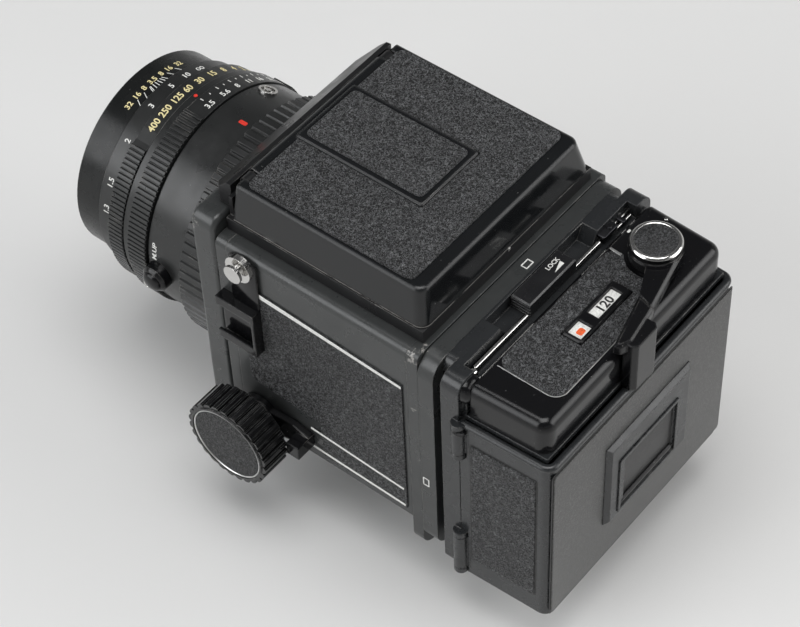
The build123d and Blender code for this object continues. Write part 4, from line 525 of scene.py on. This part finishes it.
def cushioned(place, lie, width, height, corner, thick, edge, steps=8):
    """A plate with a rounded rim: each ring of the outline steps in and up along a quarter circle.

    Lie is the pair of directions that its width and height run along.
    """
    lean = np.linspace(0, math.pi / 2, 5)
    inset = np.r_[0.0, edge * (1 - np.cos(lean))]
    rise = np.r_[0.0, thick - edge + edge * np.sin(lean)]
    rings = [
        np.column_stack([rounded_rectangle(width - 2 * d, height - 2 * d, max(corner - d, 0.05), steps),
                         np.full(4 * steps, h)])
        for d, h in zip(inset, rise)
    ]
    points = laid(np.array(rings), place, *lie)
    count = 4 * steps
    faces = grid_faces(len(rings), count, False, True)
    last = (len(rings) - 1) * count
    faces += [list(range(count)), list(range(last, last + count))]
    return points.reshape(-1, 3), faces


def framed(place, lie, width, height, corner, band, thick, steps=8):
    """A flat band round an opening: four outlines joined into a closed square section."""
    outer = rounded_rectangle(width, height, corner, steps)
    inner = rounded_rectangle(width - 2 * band, height - 2 * band, max(corner - band, 0.05), steps)
    level = np.zeros(4 * steps)
    rings = [np.column_stack([edge, level + h]) for edge, h in
             ((outer, 0.0), (outer, thick), (inner, thick), (inner, 0.0))]
    points = laid(np.array(rings), place, *lie)
    return points.reshape(-1, 3), grid_faces(4, 4 * steps, True, True)


def carried(path, section, up, closed=False):
    """A closed section carried along a path: x of the section lies across the path, y along `up`."""
    path = np.asarray(path, float)
    section = np.asarray(section, float)
    if closed:
        along = np.roll(path, -1, axis=0) - np.roll(path, 1, axis=0)
    else:
        along = np.gradient(path, axis=0)
    along /= np.linalg.norm(along, axis=1, keepdims=True)
    across = np.cross(along, np.asarray(up, float))
    across /= np.linalg.norm(across, axis=1, keepdims=True)
    lift = np.cross(across, along)
    points = path[:, None] + section[None, :, :1] * across[:, None] + section[None, :, 1:] * lift[:, None]
    count = len(section)
    faces = grid_faces(len(path), count, closed, True)
    if not closed:
        last = (len(path) - 1) * count
        faces += [list(range(count)), list(range(last, last + count))]
    return points.reshape(-1, 3), faces


def round_section(radius, steps=16):
    turn = np.linspace(0, 2 * math.pi, steps, endpoint=False)
    return np.stack([radius * np.cos(turn), radius * np.sin(turn)], axis=-1)


def strip_section(width, thick):
    """A low bar with bevelled shoulders."""
    half, shoulder = width / 2, min(0.3 * thick, 0.2 * width)
    return [(-half, 0), (half, 0), (half, thick - shoulder), (half - shoulder, thick),
            (-half + shoulder, thick), (-half, thick - shoulder)]


def rod(radius, start, end, edge=0.3, steps=32):
    """A round bar with bevelled ends, turned about the line between two points."""
    start, end = np.asarray(start, float), np.asarray(end, float)
    length = np.linalg.norm(end - start)
    profile = [(0.0, 0.0), (radius - edge, 0.0), (radius, edge), (radius, length - edge),
               (radius - edge, length), (0.0, length)]
    return turned(profile, start, end - start, steps)


def letters(words, height, weight=0.0, stretch=1.0):
    """Flat raised letters centred on the origin, as points and faces."""
    curve = bpy.data.curves.new("letters", "FONT")
    curve.body = words
    curve.size = height / capital_share
    curve.align_x = "CENTER"
    curve.align_y = "CENTER"
    curve.resolution_u = 3
    curve.offset = weight
    curve.extrude = paint_depth / 2
    holder = bpy.data.objects.new("letters", curve)
    mesh = bpy.data.meshes.new_from_object(holder)
    points = np.zeros(len(mesh.vertices) * 3)
    mesh.vertices.foreach_get("co", points)
    points = points.reshape(-1, 3)
    points[:, 0] *= stretch
    points[:, 1] -= (points[:, 1].max() + points[:, 1].min()) / 2
    faces = [list(polygon.vertices) for polygon in mesh.polygons]
    bpy.data.objects.remove(holder)
    bpy.data.curves.remove(curve)
    bpy.data.meshes.remove(mesh)
    return points, faces


def painted(outline, levels=(-paint_depth / 2, paint_depth / 2)):
    """A layer of paint inside an outline, between two levels, as points and faces."""
    count = len(outline)
    points = np.vstack([np.column_stack([outline, np.full(count, level)]) for level in levels])
    return points, grid_faces(2, count, False, True) + [list(range(count)), list(range(count, 2 * count))]


def tick(width, height, lean=0.0):
    """A small flat bar, which may lean sideways, as points and faces."""
    x = np.array([-1, 1, 1, -1]) * width / 2 + np.array([-1, -1, 1, 1]) * lean / 2
    y = np.array([-1, -1, 1, 1]) * height / 2
    return painted(np.column_stack([x, y]))


def endless_sign(width):
    """The sign for a far distance: a band along a lemniscate, x = cos t / (1 + sin² t), y = 1.35 x sin t."""
    t = np.linspace(0, 2 * math.pi, 49)[:-1]
    x = np.cos(t) / (1 + np.sin(t) ** 2)
    path = np.column_stack([x, 1.35 * x * np.sin(t), np.zeros_like(t)]) * width / 2
    side, half = 0.17, paint_depth / 2
    section = [(-side, -half), (side, -half), (side, half), (-side, half)]
    return carried(path, section, upwards, closed=True)


def around_lens(shape, angle, y, radius):
    """Wraps a flat shape round the lens axis: its x runs round the ring, its y towards the front."""
    points = shape[0]
    turn = math.radians(angle) + points[:, 0] / radius
    reach = radius + paint_rise + points[:, 2]
    height = lens_axis_height + reach * np.sin(turn)
    return np.column_stack([reach * np.cos(turn), y - points[:, 1], height]), shape[1]


def ring_marks(name, marks, y, radius, material, body):
    """Every mark of one ring as one piece: marks are (shape, angle, shift along the axis)."""
    shapes = [around_lens(shape, angle, y + shift, radius) for shape, angle, shift in marks]
    return make_piece(name, *joined(shapes), material, body, smooth=False)


# Ways to make a whole piece

def plate(name, finish, body, place, lie, **sizes):
    """A cushioned plate."""
    make_piece(name, *cushioned(place, lie, **sizes), finish, body)


def lathed(name, finish, body, profile, centre, axis, steps=96, stands_for=()):
    """A turned piece, from a profile of (radius, height) points."""
    make_piece(name, *turned(profile, centre, axis, steps), finish, body, stands_for)


def flat_sign(name, finish, body, words, place):
    """Letters that are read from behind the camera, lying flat."""
    points, faces = words
    make_piece(name, laid(points, place, *read_from_behind), faces, finish, body, smooth=False)


# Bellows

def make_bellows_sleeve():
    """A pleated sleeve: rounded rectangles whose half width falls and rises as a rounded saw tooth along
    Y, out along the outside and back along the inside, so the cloth has two closed faces."""
    folds, rows_per_fold = 9, 6
    share = np.linspace(0, 1, folds * rows_per_fold + 1)
    saw = np.abs((share * folds) % 1.0 - 0.5) * 2
    inset = pleat_depth * (0.5 - 0.5 * np.cos(math.pi * saw))
    y = sleeve_front + (sleeve_rear - sleeve_front) * share
    rows_y = np.r_[y, y[::-1]]
    rows_in = np.r_[inset, inset[::-1] + cloth_thickness]
    widths = 2 * (sleeve_half_width - rows_in)
    heights = sleeve_height - 2 * rows_in
    flat = np.array([rounded_rectangle(w, h, sleeve_corner, steps=10) for w, h in zip(widths, heights)])
    depth = np.broadcast_to(rows_y[:, None], flat.shape[:2])
    points = np.stack([flat[..., 0], depth, flat[..., 1] + sleeve_middle], axis=-1)
    faces = grid_faces(len(rows_y), flat.shape[1], True, True)
    sleeve = make_piece("bellows_sleeve", points, faces, bellows_cloth, None)
    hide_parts("bellows")
    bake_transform(sleeve)


make_bellows_sleeve()


# Lens scales, each mark at its angle round the lens axis

def numbered(scale, height, weight, stretch=1.0, shift=0.0):
    """The marks for a scale's (number, angle) pairs."""
    return [(letters(words, height, weight, stretch), angle, shift) for words, angle, *rest in scale]


distance_numbers = (("1.3", 14.5), ("1.5", 30.0), ("2", 53.3), ("3", 74.6), ("5", 90.0), ("10", 101.0))
distance_marks = numbered(distance_numbers, scale_number_height, scale_number_weight)
distance_marks.append((endless_sign(width=3.4), 111.5, 0.0))
ring_marks("distance_numbers", distance_marks, distance_scale_y, distance_scale_radius, white_paint,
           "distance_scale")

# Depth of field: each number, its angle and how far its line leans
depth_numbers = (("32", 69.4, 1.5), ("16", 76.2, 1.3), ("8", 82.0, 1.0), ("8", 95.2, -1.0),
                 ("16", 101.0, -1.3), ("32", 108.6, -1.5))
depth_marks = numbered(depth_numbers + (("3.5", 88.6),), depth_number_height, depth_number_weight,
                       shift=depth_number_shift)
ring_marks("depth_numbers", depth_marks, depth_scale_y, depth_scale_radius, cream_paint, "lens_carrier")
depth_lines = [(tick(*depth_line_size, lean), top_angle + depth_line_spread * (angle - top_angle),
                depth_line_shift) for words, angle, lean in depth_numbers]
depth_lines += [(tick(*depth_line_size, -0.35 * step), 88.2 + 2.0 * step, depth_line_shift)
                for step in (-2, -1, 0, 1, 2)]
ring_marks("depth_lines", depth_lines, depth_scale_y, depth_scale_radius, white_paint, "lens_carrier")

speed_numbers = (("400", 66.2), ("250", 75.0), ("125", 84.0), ("60", 91.7), ("30", 99.9), ("15", 109.0),
                 ("8", 117.5), ("4", 125.5), ("2", 133.0), ("1", 140.5), ("T", 148.5))
speed_marks = numbered(speed_numbers, height=2.9, weight=0.08, stretch=0.90)
ring_marks("speed_numbers", speed_marks, speed_scale_y, speed_scale_radius, cream_paint, "speed_selector")

stop_numbers = (("3.5", 88.5), ("5.6", 99.0), ("8", 107.5), ("11", 116.0), ("16", 124.0), ("22", 133.0),
                ("32", 142.0))
stop_marks = numbered(stop_numbers, scale_number_height, scale_number_weight)
ring_marks("stop_numbers", stop_marks, stop_scale_y, stop_scale_radius, white_paint, "aperture_selector")
stop_angles = [angle for words, angle in stop_numbers]
stop_lines = [(tick(width=0.32, height=1.5), angle, 0.0) for angle in stop_angles]
stop_lines += [(tick(width=0.28, height=0.8), (first + second) / 2, 0.2)
               for first, second in zip(stop_angles[:-1], stop_angles[1:])]
ring_marks("stop_lines", stop_lines, stop_tick_y, stop_scale_radius, white_paint, "aperture_selector")


index_dot = painted(round_section(radius=0.75, steps=20))
ring_marks("index_dot", [(index_dot, index_dot_angle, 0.0)], index_dot_y, index_band_radius, red_paint,
           "lens_carrier")
mount_mark = painted(rounded_rectangle(width=1.7, height=3.5, corner=0.55, steps=5))
ring_marks("mount_mark", [(mount_mark, top_angle, 0.0)], mount_mark_y, rear_barrel_radius, red_paint,
           "lens_carrier")
mirror_up_words = letters("M.UP", 2.1, weight=0.04, stretch=1.15)
ring_marks("mirror_up_label", [(mirror_up_words, mirror_up_label_angle, 0.0)], mirror_up_y,
           rear_barrel_radius, white_paint, "lens_carrier")


def radial(angle, y, height):
    """A place at an angle round the lens axis, and the direction that points out from the axis there."""
    turn = math.radians(angle)
    out = np.array([math.cos(turn), 0.0, math.sin(turn)])
    return np.array([0.0, y, lens_axis_height]) + height * out, out


# The mirror lock's boss: a glossy dome, and beside it a bright screw with a dark well in its head, a black
# disc of painted shade for the hole
dome = [(0.0, -0.2), (4.1, -0.2), (4.1, 0.25), (3.7, 0.9), (2.7, 1.45), (1.3, 1.75), (0.0, 1.8)]
lathed("mirror_up_dome", housing_paint, "lens_carrier", dome, *radial(boss_angle, boss_y, boss_top), steps=48)
boss_screw = radial(boss_screw_angle, boss_screw_y, boss_screw_top)
screw_rim = [(0.75, 0.0), (1.75, 0.0), (1.75, 0.55), (1.5, 0.85), (0.95, 0.85), (0.75, 0.6)]
lathed("mirror_up_screw", chrome, "lens_carrier", screw_rim, *boss_screw, steps=40)
screw_well = [(0.0, 0.0), (0.8, 0.0), (0.8, 0.35), (0.0, 0.35)]
lathed("mirror_up_well", ink_and_painted_shade, "lens_carrier", screw_well, *boss_screw, steps=24)


def front_element():
    """The front glass with both faces smooth: each bulges by b (1 - (r / R)²) over the radius r."""
    share = np.linspace(0, 1, 28)
    bulge = 1 - share ** 2
    front = np.column_stack([glass_radius * share, -glass_bulge * bulge])
    rear = np.column_stack([glass_radius * share, glass_edge + glass_rear_bulge * bulge])[::-1]
    lathed("front_element", front_glass, "lens_carrier", np.vstack([front, rear]),
           (0, glass_edge_y, lens_axis_height), rearwards, stands_for=("front_glass",))


front_element()


# Focusing knobs: a leather disc inside a bright ring, both turned about the axle, in each hollow face

knob_disc = [(0.0, 0.02), (14.7, 0.02), (14.7, 0.65), (14.4, 0.9), (10.0, 1.0), (0.0, 1.05)]
knob_ring = [(14.8, 0.02), (15.5, 0.02), (15.5, 0.85), (15.3, 1.15), (15.0, 1.15), (14.8, 0.9)]
for side, word in ((1, "left"), (-1, "right")):
    knob_centre = (side * knob_face, knob_axle_y, knob_axle_height)
    lathed("knob_leather_" + word, fine_leather, "focus_drive", knob_disc, knob_centre, (side, 0, 0))
    lathed("knob_ring_" + word, silver_rim, "focus_drive", knob_ring, knob_centre, (side, 0, 0), steps=128)


# Winding lever's hub, covered in the same way

hub_centre = (lever_hub_x, lever_hub_y, lever_hub_top)
hub_disc = [(0.0, 0.01), (7.35, 0.01), (7.35, 0.30), (7.0, 0.50), (0.0, 0.62)]
lathed("hub_leather", fine_leather, "wind_lever", hub_disc, hub_centre, upwards)
hub_ring = [(7.4, 0.01), (8.15, 0.01), (8.75, -0.50), (8.95, -0.55), (9.05, -0.30), (8.6, 0.35),
            (8.2, 0.52), (7.7, 0.52), (7.4, 0.38)]
lathed("hub_ring", chrome, "wind_lever", hub_ring, hub_centre, upwards, steps=128)


# Lid: the raised panel is covered too, inside a glossy rim

plate("panel_leather", leather, "lid", (-1.5, -11.1, lid_panel_top), plan,
      width=26.6, height=49.8, corner=2.2, thick=0.30, edge=0.2)


# Side trim and the plates behind the strap lugs

def side_line(name, side, start, end, widths):
    """A thin line laid along a side of the body, from (y, z) to (y, z), whose width changes evenly."""
    x = side * (side_face + leather_rise - 0.02)
    share = np.linspace(0, 1, 24)[:, None]
    path = np.hstack([np.full((24, 1), x), np.asarray(start) * (1 - share) + np.asarray(end) * share])
    points, faces = carried(path, strip_section(1.0, 0.16), (side, 0, 0))
    corners = len(points) // len(path)
    middle = np.repeat(path, corners, axis=0)
    width = widths[0] + (widths[1] - widths[0]) * np.repeat(share, corners, axis=0)
    points[:, 1:] = middle[:, 1:] + (points - middle)[:, 1:] * width
    make_piece(name, points, faces, white_paint, "camera_body")


for side, word in ((1, "left"), (-1, "right")):
    side_line("trim_top_" + word, side, (-25.6, 107.9), (36.4, 104.6), widths=(2.1, 1.2))
    side_line("trim_middle_" + word, side, (-6.2, 50.6), (35.6, 48.5), widths=(1.0, 1.0))
    side_line("trim_low_" + word, side, (-6.2, 40.6), (36.0, 39.5), widths=(1.1, 1.1))

for side, word in ((1, "left"), (-1, "right")):
    lug_place = (side * (side_face + 1.0), strap_lug_y + 0.2, strap_lug_height)
    plate("lug_plate_" + word, housing_paint, "camera_body", lug_place, ((0, side, 0), upwards),
          width=12.2, height=25.0, corner=3.2, thick=0.45, edge=0.3)


# Top of the film holder: its two windows, with the film size and the flag for a loaded film

plate("film_size_window", white_paint, "revolving_back", (-3.4, counter_y - 0.05, counter_floor),
      read_from_behind, width=13.2, height=4.3, corner=0.3, thick=0.30, edge=0.1)
flat_sign("film_size_number", ink_and_painted_shade, "revolving_back", letters("120", 3.3, weight=0.10, stretch=1.08),
          (-3.4, counter_y - 0.05, counter_floor + 0.33))
plate("loaded_window", white_paint, "revolving_back", (10.75, counter_y + 0.1, counter_floor),
      read_from_behind, width=6.2, height=5.3, corner=0.3, thick=0.30, edge=0.1)
plate("loaded_flag", orange_paint, "revolving_back", (10.9, counter_y + 0.7, counter_floor + 0.30),
      read_from_behind, width=3.0, height=2.4, corner=0.7, thick=0.12, edge=0.05)


def guide_rods():
    """Bright rods either side of the slide lock, and the links that draw them.

    One rod rides on the lock and slides under the links.
    """
    def along(start, end, y=0.0, z=0.0):
        return (start, rod_y + y, rod_height + z), (end, rod_y + y, rod_height + z)

    make_piece("slide_drawn_rod", *rod(rod_radius, *along(-13.0, -27.4)), chrome, "top_lock")
    rods = [rod(rod_radius, *along(41.5, 13.2)), rod(0.5, *along(-35.5, -47.6, y=-0.9)),
            rod(0.5, *along(-35.5, -44.0, y=1.1, z=0.3))]
    make_piece("slide_guide_rod", *joined(rods), chrome, "revolving_back")
    links = [
        cushioned((-32.0, rod_y, rod_height + 1.1), plan,
                  width=8.0, height=3.3, corner=0.6, thick=1.3, edge=0.3),
        cushioned((-39.6, rod_y, rod_height - 0.2), plan,
                  width=2.0, height=4.0, corner=0.5, thick=1.5, edge=0.3),
        rod(0.85, (-33.0, rod_y, rod_height + 2.2), (-33.0, rod_y, rod_height + 3.0), edge=0.2, steps=20),
    ]
    make_piece("slide_links", *joined(links), dark_steel, "revolving_back")
    make_piece("rod_end", *rod(1.7, *along(42.0, 44.6, y=0.9), edge=0.6), chrome, "revolving_back")


guide_rods()


# On the slide lock: its word, and a low wedge of paint that grows towards the locking end
flat_sign("lock_word", white_paint, "top_lock", letters("LOCK", 1.7, weight=0.04),
          (-6.7, 53.9, lock_block_top + 0.02))
wedge = painted([(-4.1, 56.9), (-9.3, 56.9), (-9.3, 55.1)], (lock_block_top + 0.01, lock_block_top + 0.11))
make_piece("lock_arrow", *wedge, white_paint, "top_lock", smooth=False)


# Film holder's sides and back

def cover_side(y):
    """Half the cover's width at a depth: its sides draw in a little towards the back."""
    return cover_front_half - cover_draw * (y - cover_front) / (cover_rear - cover_front)


# A leather panel let into each side of the cover, in a thin black border that is painted shade for the seam
# round it
side_lean = -cover_draw / (cover_rear - cover_front)
for side, word in ((1, "left"), (-1, "right")):
    patch_place = (side * cover_side(patch_y), patch_y, patch_height)
    patch_lie = ((side_lean, side, 0.0), upwards)
    plate("side_border_" + word, ink_and_painted_shade, "rear_door", patch_place, patch_lie,
          width=26.8, height=64.7, corner=1.0, thick=0.10, edge=0.05)
    plate("side_panel_" + word, leather, "rear_door", patch_place, patch_lie,
          width=25.6, height=63.5, corner=0.7, thick=0.55, edge=0.30)

# The grained plate on the cover's rear, in a border that is painted shade: a dark line for the groove round
# the plate
plate("rear_border", ink_and_painted_shade, "rear_door", (0, cover_rear, plate_middle), rear_view,
      width=103.0, height=77.6, corner=1.4, thick=0.10, edge=0.05)
plate("rear_plate", cover_paint, "rear_door", (0, cover_rear, plate_middle), rear_view,
      width=101.2, height=75.8, corner=1.0, thick=0.60, edge=0.30)


def cover_rim():
    """A round bead along the cover's top edge: down one side, round two quarter circles and back."""
    inset, corner = 0.9, 3.2
    back = cover_rear - inset
    sides = np.linspace(cover_front + 1.0, back - corner, 12)
    left = np.column_stack([[cover_side(y) - inset for y in sides], sides])
    turn = np.linspace(0, math.pi / 2, 10)[1:]
    middle = np.array([left[-1, 0] - corner, back - corner])
    arc = middle + corner * np.column_stack([np.cos(turn), np.sin(turn)])
    half = np.vstack([left, arc, [[middle[0] * share, back] for share in (0.8, 0.5, 0.2)]])
    level = np.vstack([half, (half * (-1, 1))[::-1]])
    path = np.column_stack([level, np.full(len(level), cover_top + 0.10)])
    section = round_section(1.5, 16) * (1.0, 0.85)
    make_piece("cover_rim", *carried(path, section, upwards), back_paint, "rear_door")


cover_rim()

# Memo frame: a raised inner rim round a grained floor, whose darker grain is painted shade in the recess, and
# the ledge that holds the card
memo_rim = framed((memo_x, memo_face - 0.02, memo_middle), rear_view,
                  width=34.6, height=28.6, corner=0.8, band=1.3, thick=0.55)
make_piece("memo_rim", *memo_rim, back_paint, "rear_door")
plate("memo_floor", grain_painted_shade, "rear_door", (memo_x, memo_face - 1.0, memo_middle), rear_view,
      width=31.8, height=25.8, corner=0.4, thick=0.12, edge=0.05)
plate("memo_ledge", housing_paint, "rear_door", (memo_x, memo_face - 1.0, memo_middle - 10.6), rear_view,
      width=30.5, height=2.6, corner=1.2, thick=1.25, edge=0.9)

# A small screw low on the finder's rear, a pin beside the lever's hub, and the counter's index
finder_screw = [(0.0, -0.2), (0.85, -0.2), (0.85, 0.25), (0.6, 0.45), (0.0, 0.5)]
lathed("finder_screw", chrome, "camera_body", finder_screw, (0.2, 41.2, 129.5), rearwards, steps=24)
stop_pin = rod(0.6, (-46.2, 72.1, housing_top - 0.1), (-46.2, 72.1, housing_top + 1.2), edge=0.15, steps=24)
make_piece("stop_pin", *stop_pin, chrome, "revolving_back")
plate("index_tick", white_paint, "revolving_back", (-35.0, 64.9, housing_top), plan,
      width=1.5, height=0.9, corner=0.2, thick=0.12, edge=0.05)

# Hinge: a lobed plate over the upper barrel with its bright screw
plate("hinge_plate", housing_paint, "revolving_back", (hinge_x - 1.8, hinge_y + 0.8, hinge_top), plan,
      width=9.6, height=5.4, corner=2.6, thick=0.8, edge=0.3)
hinge_screw = [(0.0, 0.0), (1.15, 0.0), (1.15, 0.25), (0.85, 0.50), (0.0, 0.58)]
lathed("hinge_screw", chrome, "revolving_back", hinge_screw, (hinge_x - 1.0, hinge_y + 0.9, hinge_top + 0.8),
       upwards, steps=28)

# A dark barrel that stands out of the deck's corner, left of the rods
deck_barrel = [(0.0, 0.0), (4.1, 0.0), (4.6, 0.8), (4.6, 5.6), (4.2, 6.8), (3.2, 7.7), (1.6, 8.2), (0.0, 8.3)]
lathed("deck_barrel", housing_paint, "revolving_back", deck_barrel, (44.4, 60.0, 118.2), sideways, steps=48)


def edge_line(name, path, width):
    """A hair line of bare metal along a path that lies level."""
    make_piece(name, *carried(path, strip_section(width, 0.12), upwards), silver_rim, "revolving_back")


def leather_border():
    """A hair line round the outer corner of the top leather: a side, a quarter circle and the back."""
    corner, left, back = 4.7, 37.9, 89.4
    turn = np.linspace(0, math.pi / 2, 10)
    arc = np.column_stack([left - corner + corner * np.cos(turn), back - corner + corner * np.sin(turn)])
    side_run = [(left, 65.0), (left, 72.0), (left, 79.0)]
    back_run = [(24.0, back), (14.0, back), (1.0, back)]
    level = np.vstack([side_run, arc, back_run])
    edge_line("leather_border", np.column_stack([level, np.full(len(level), housing_top + 0.02)]), width=0.42)
    edge_line("leather_bar", np.array([(-24.6, 64.6, leather_top), (-24.4, 67.0, leather_top),
                                       (-24.3, 69.4, leather_top)]), width=0.9)


leather_border()

# The film format's marks on the revolving back: a small frame on its side and on its top
format_frame = {"corner": 0.2, "band": 0.42, "thick": 0.1, "steps": 3}
side_mark = framed((52.42, 45.6, 60.6), (rearwards, upwards), width=2.7, height=4.0, **format_frame)
make_piece("format_mark_side", *side_mark, white_paint, "revolving_back", smooth=False)
top_mark = framed((-2.0, 47.1, 124.05), read_from_behind, width=4.0, height=2.7, **format_frame)
make_piece("format_mark_top", *top_mark, white_paint, "revolving_back", smooth=False)


# Floor

def make_floor():
    """A wide shallow dish: flat round the object, then rising as a smooth cosine step far away."""
    flat_reach, climb_reach, rim_height = 1.2, 2.0, 1.9
    reach = np.r_[0.001, 0.4, 0.8, np.linspace(flat_reach, flat_reach + climb_reach, 24)]
    turn = np.linspace(0, 2 * math.pi, 96, endpoint=False)
    climb = np.clip((reach - flat_reach) / climb_reach, 0, 1)
    height = rim_height * (0.5 - 0.5 * np.cos(math.pi * climb)) ** 1.2
    points = np.stack([reach[:, None] * np.cos(turn), reach[:, None] * np.sin(turn),
                       np.broadcast_to(height[:, None], (len(reach), len(turn)))], axis=-1)
    mesh = bpy.data.meshes.new("studio_floor")
    faces = grid_faces(len(reach), len(turn), False, True) + [list(range(len(turn)))]
    mesh.from_pydata(points.reshape(-1, 3).tolist(), [], faces)
    mesh.shade_smooth()
    paper = Finish("paper_sweep", paper_white, 0.85)
    tone = paper.blend(paper.noise(0.9, 2.0), paper_white, (0.66, 0.66, 0.655))
    mesh.materials.append(paper.use(Base_Color=tone, Normal=paper.bump(paper.noise(0.0012, 2.0), 0.02)))
    floor = bpy.data.objects.new("studio_floor", mesh)
    bpy.context.scene.collection.objects.link(floor)


make_floor()


# Light

def soft_light(name, place, width, height, power, colour=(1.0, 1.0, 1.0)):
    """A rectangular soft box that looks at the middle of the object."""
    light = bpy.data.lights.new(name, "AREA")
    light.shape = "RECTANGLE"
    light.size = width
    light.size_y = height
    light.energy = power
    light.color = colour
    lamp = bpy.data.objects.new(name, light)
    lamp.location = place
    lamp.rotation_mode = "QUATERNION"
    lamp.rotation_quaternion = (Vector(light_target) - Vector(place)).to_track_quat("-Z", "Y")
    bpy.context.scene.collection.objects.link(lamp)


soft_light("overhead_box", (0.10, 0.10, 1.55), width=1.1, height=0.9, power=15.0)
soft_light("left_box", (1.12, -0.66, 0.80), width=1.2, height=1.0, power=13.0, colour=(0.97, 0.985, 1.0))
soft_light("rear_box", (-0.80, 1.22, 0.85), width=1.3, height=1.0, power=14.0)

world = bpy.data.worlds.new("studio")
world.use_nodes = True
background = world.node_tree.nodes["Background"]
background.inputs["Color"].default_value = (*sky_colour, 1.0)
background.inputs["Strength"].default_value = sky_strength
bpy.context.scene.world = world
bpy.context.scene.view_settings.view_transform = "Standard"


# The photographer's view

def make_camera():
    """Stands where the photograph was taken: the angles give the axes, and the roll turns them."""
    azimuth, elevation, roll = map(math.radians, (view_azimuth, view_elevation, view_roll))
    back = Vector((math.sin(azimuth) * math.cos(elevation), -math.cos(azimuth) * math.cos(elevation),
                   math.sin(elevation)))
    right = (-back).cross(Vector((0, 0, 1))).normalized()
    up = right.cross(-back)
    turned_right = right * math.cos(roll) + up * math.sin(roll)
    turned_up = up * math.cos(roll) - right * math.sin(roll)
    data = bpy.data.cameras.new("photographer")
    data.lens = view_lens
    data.sensor_width = view_sensor
    data.sensor_fit = "HORIZONTAL"
    data.clip_start = 0.05
    data.clip_end = 20.0
    camera = bpy.data.objects.new("photographer", data)
    axes = Matrix((turned_right, turned_up, back)).transposed().to_4x4()
    camera.matrix_world = Matrix.Translation(Vector(view_place) * millimetre) @ axes
    bpy.context.scene.collection.objects.link(camera)
    bpy.context.scene.camera = camera


make_camera()
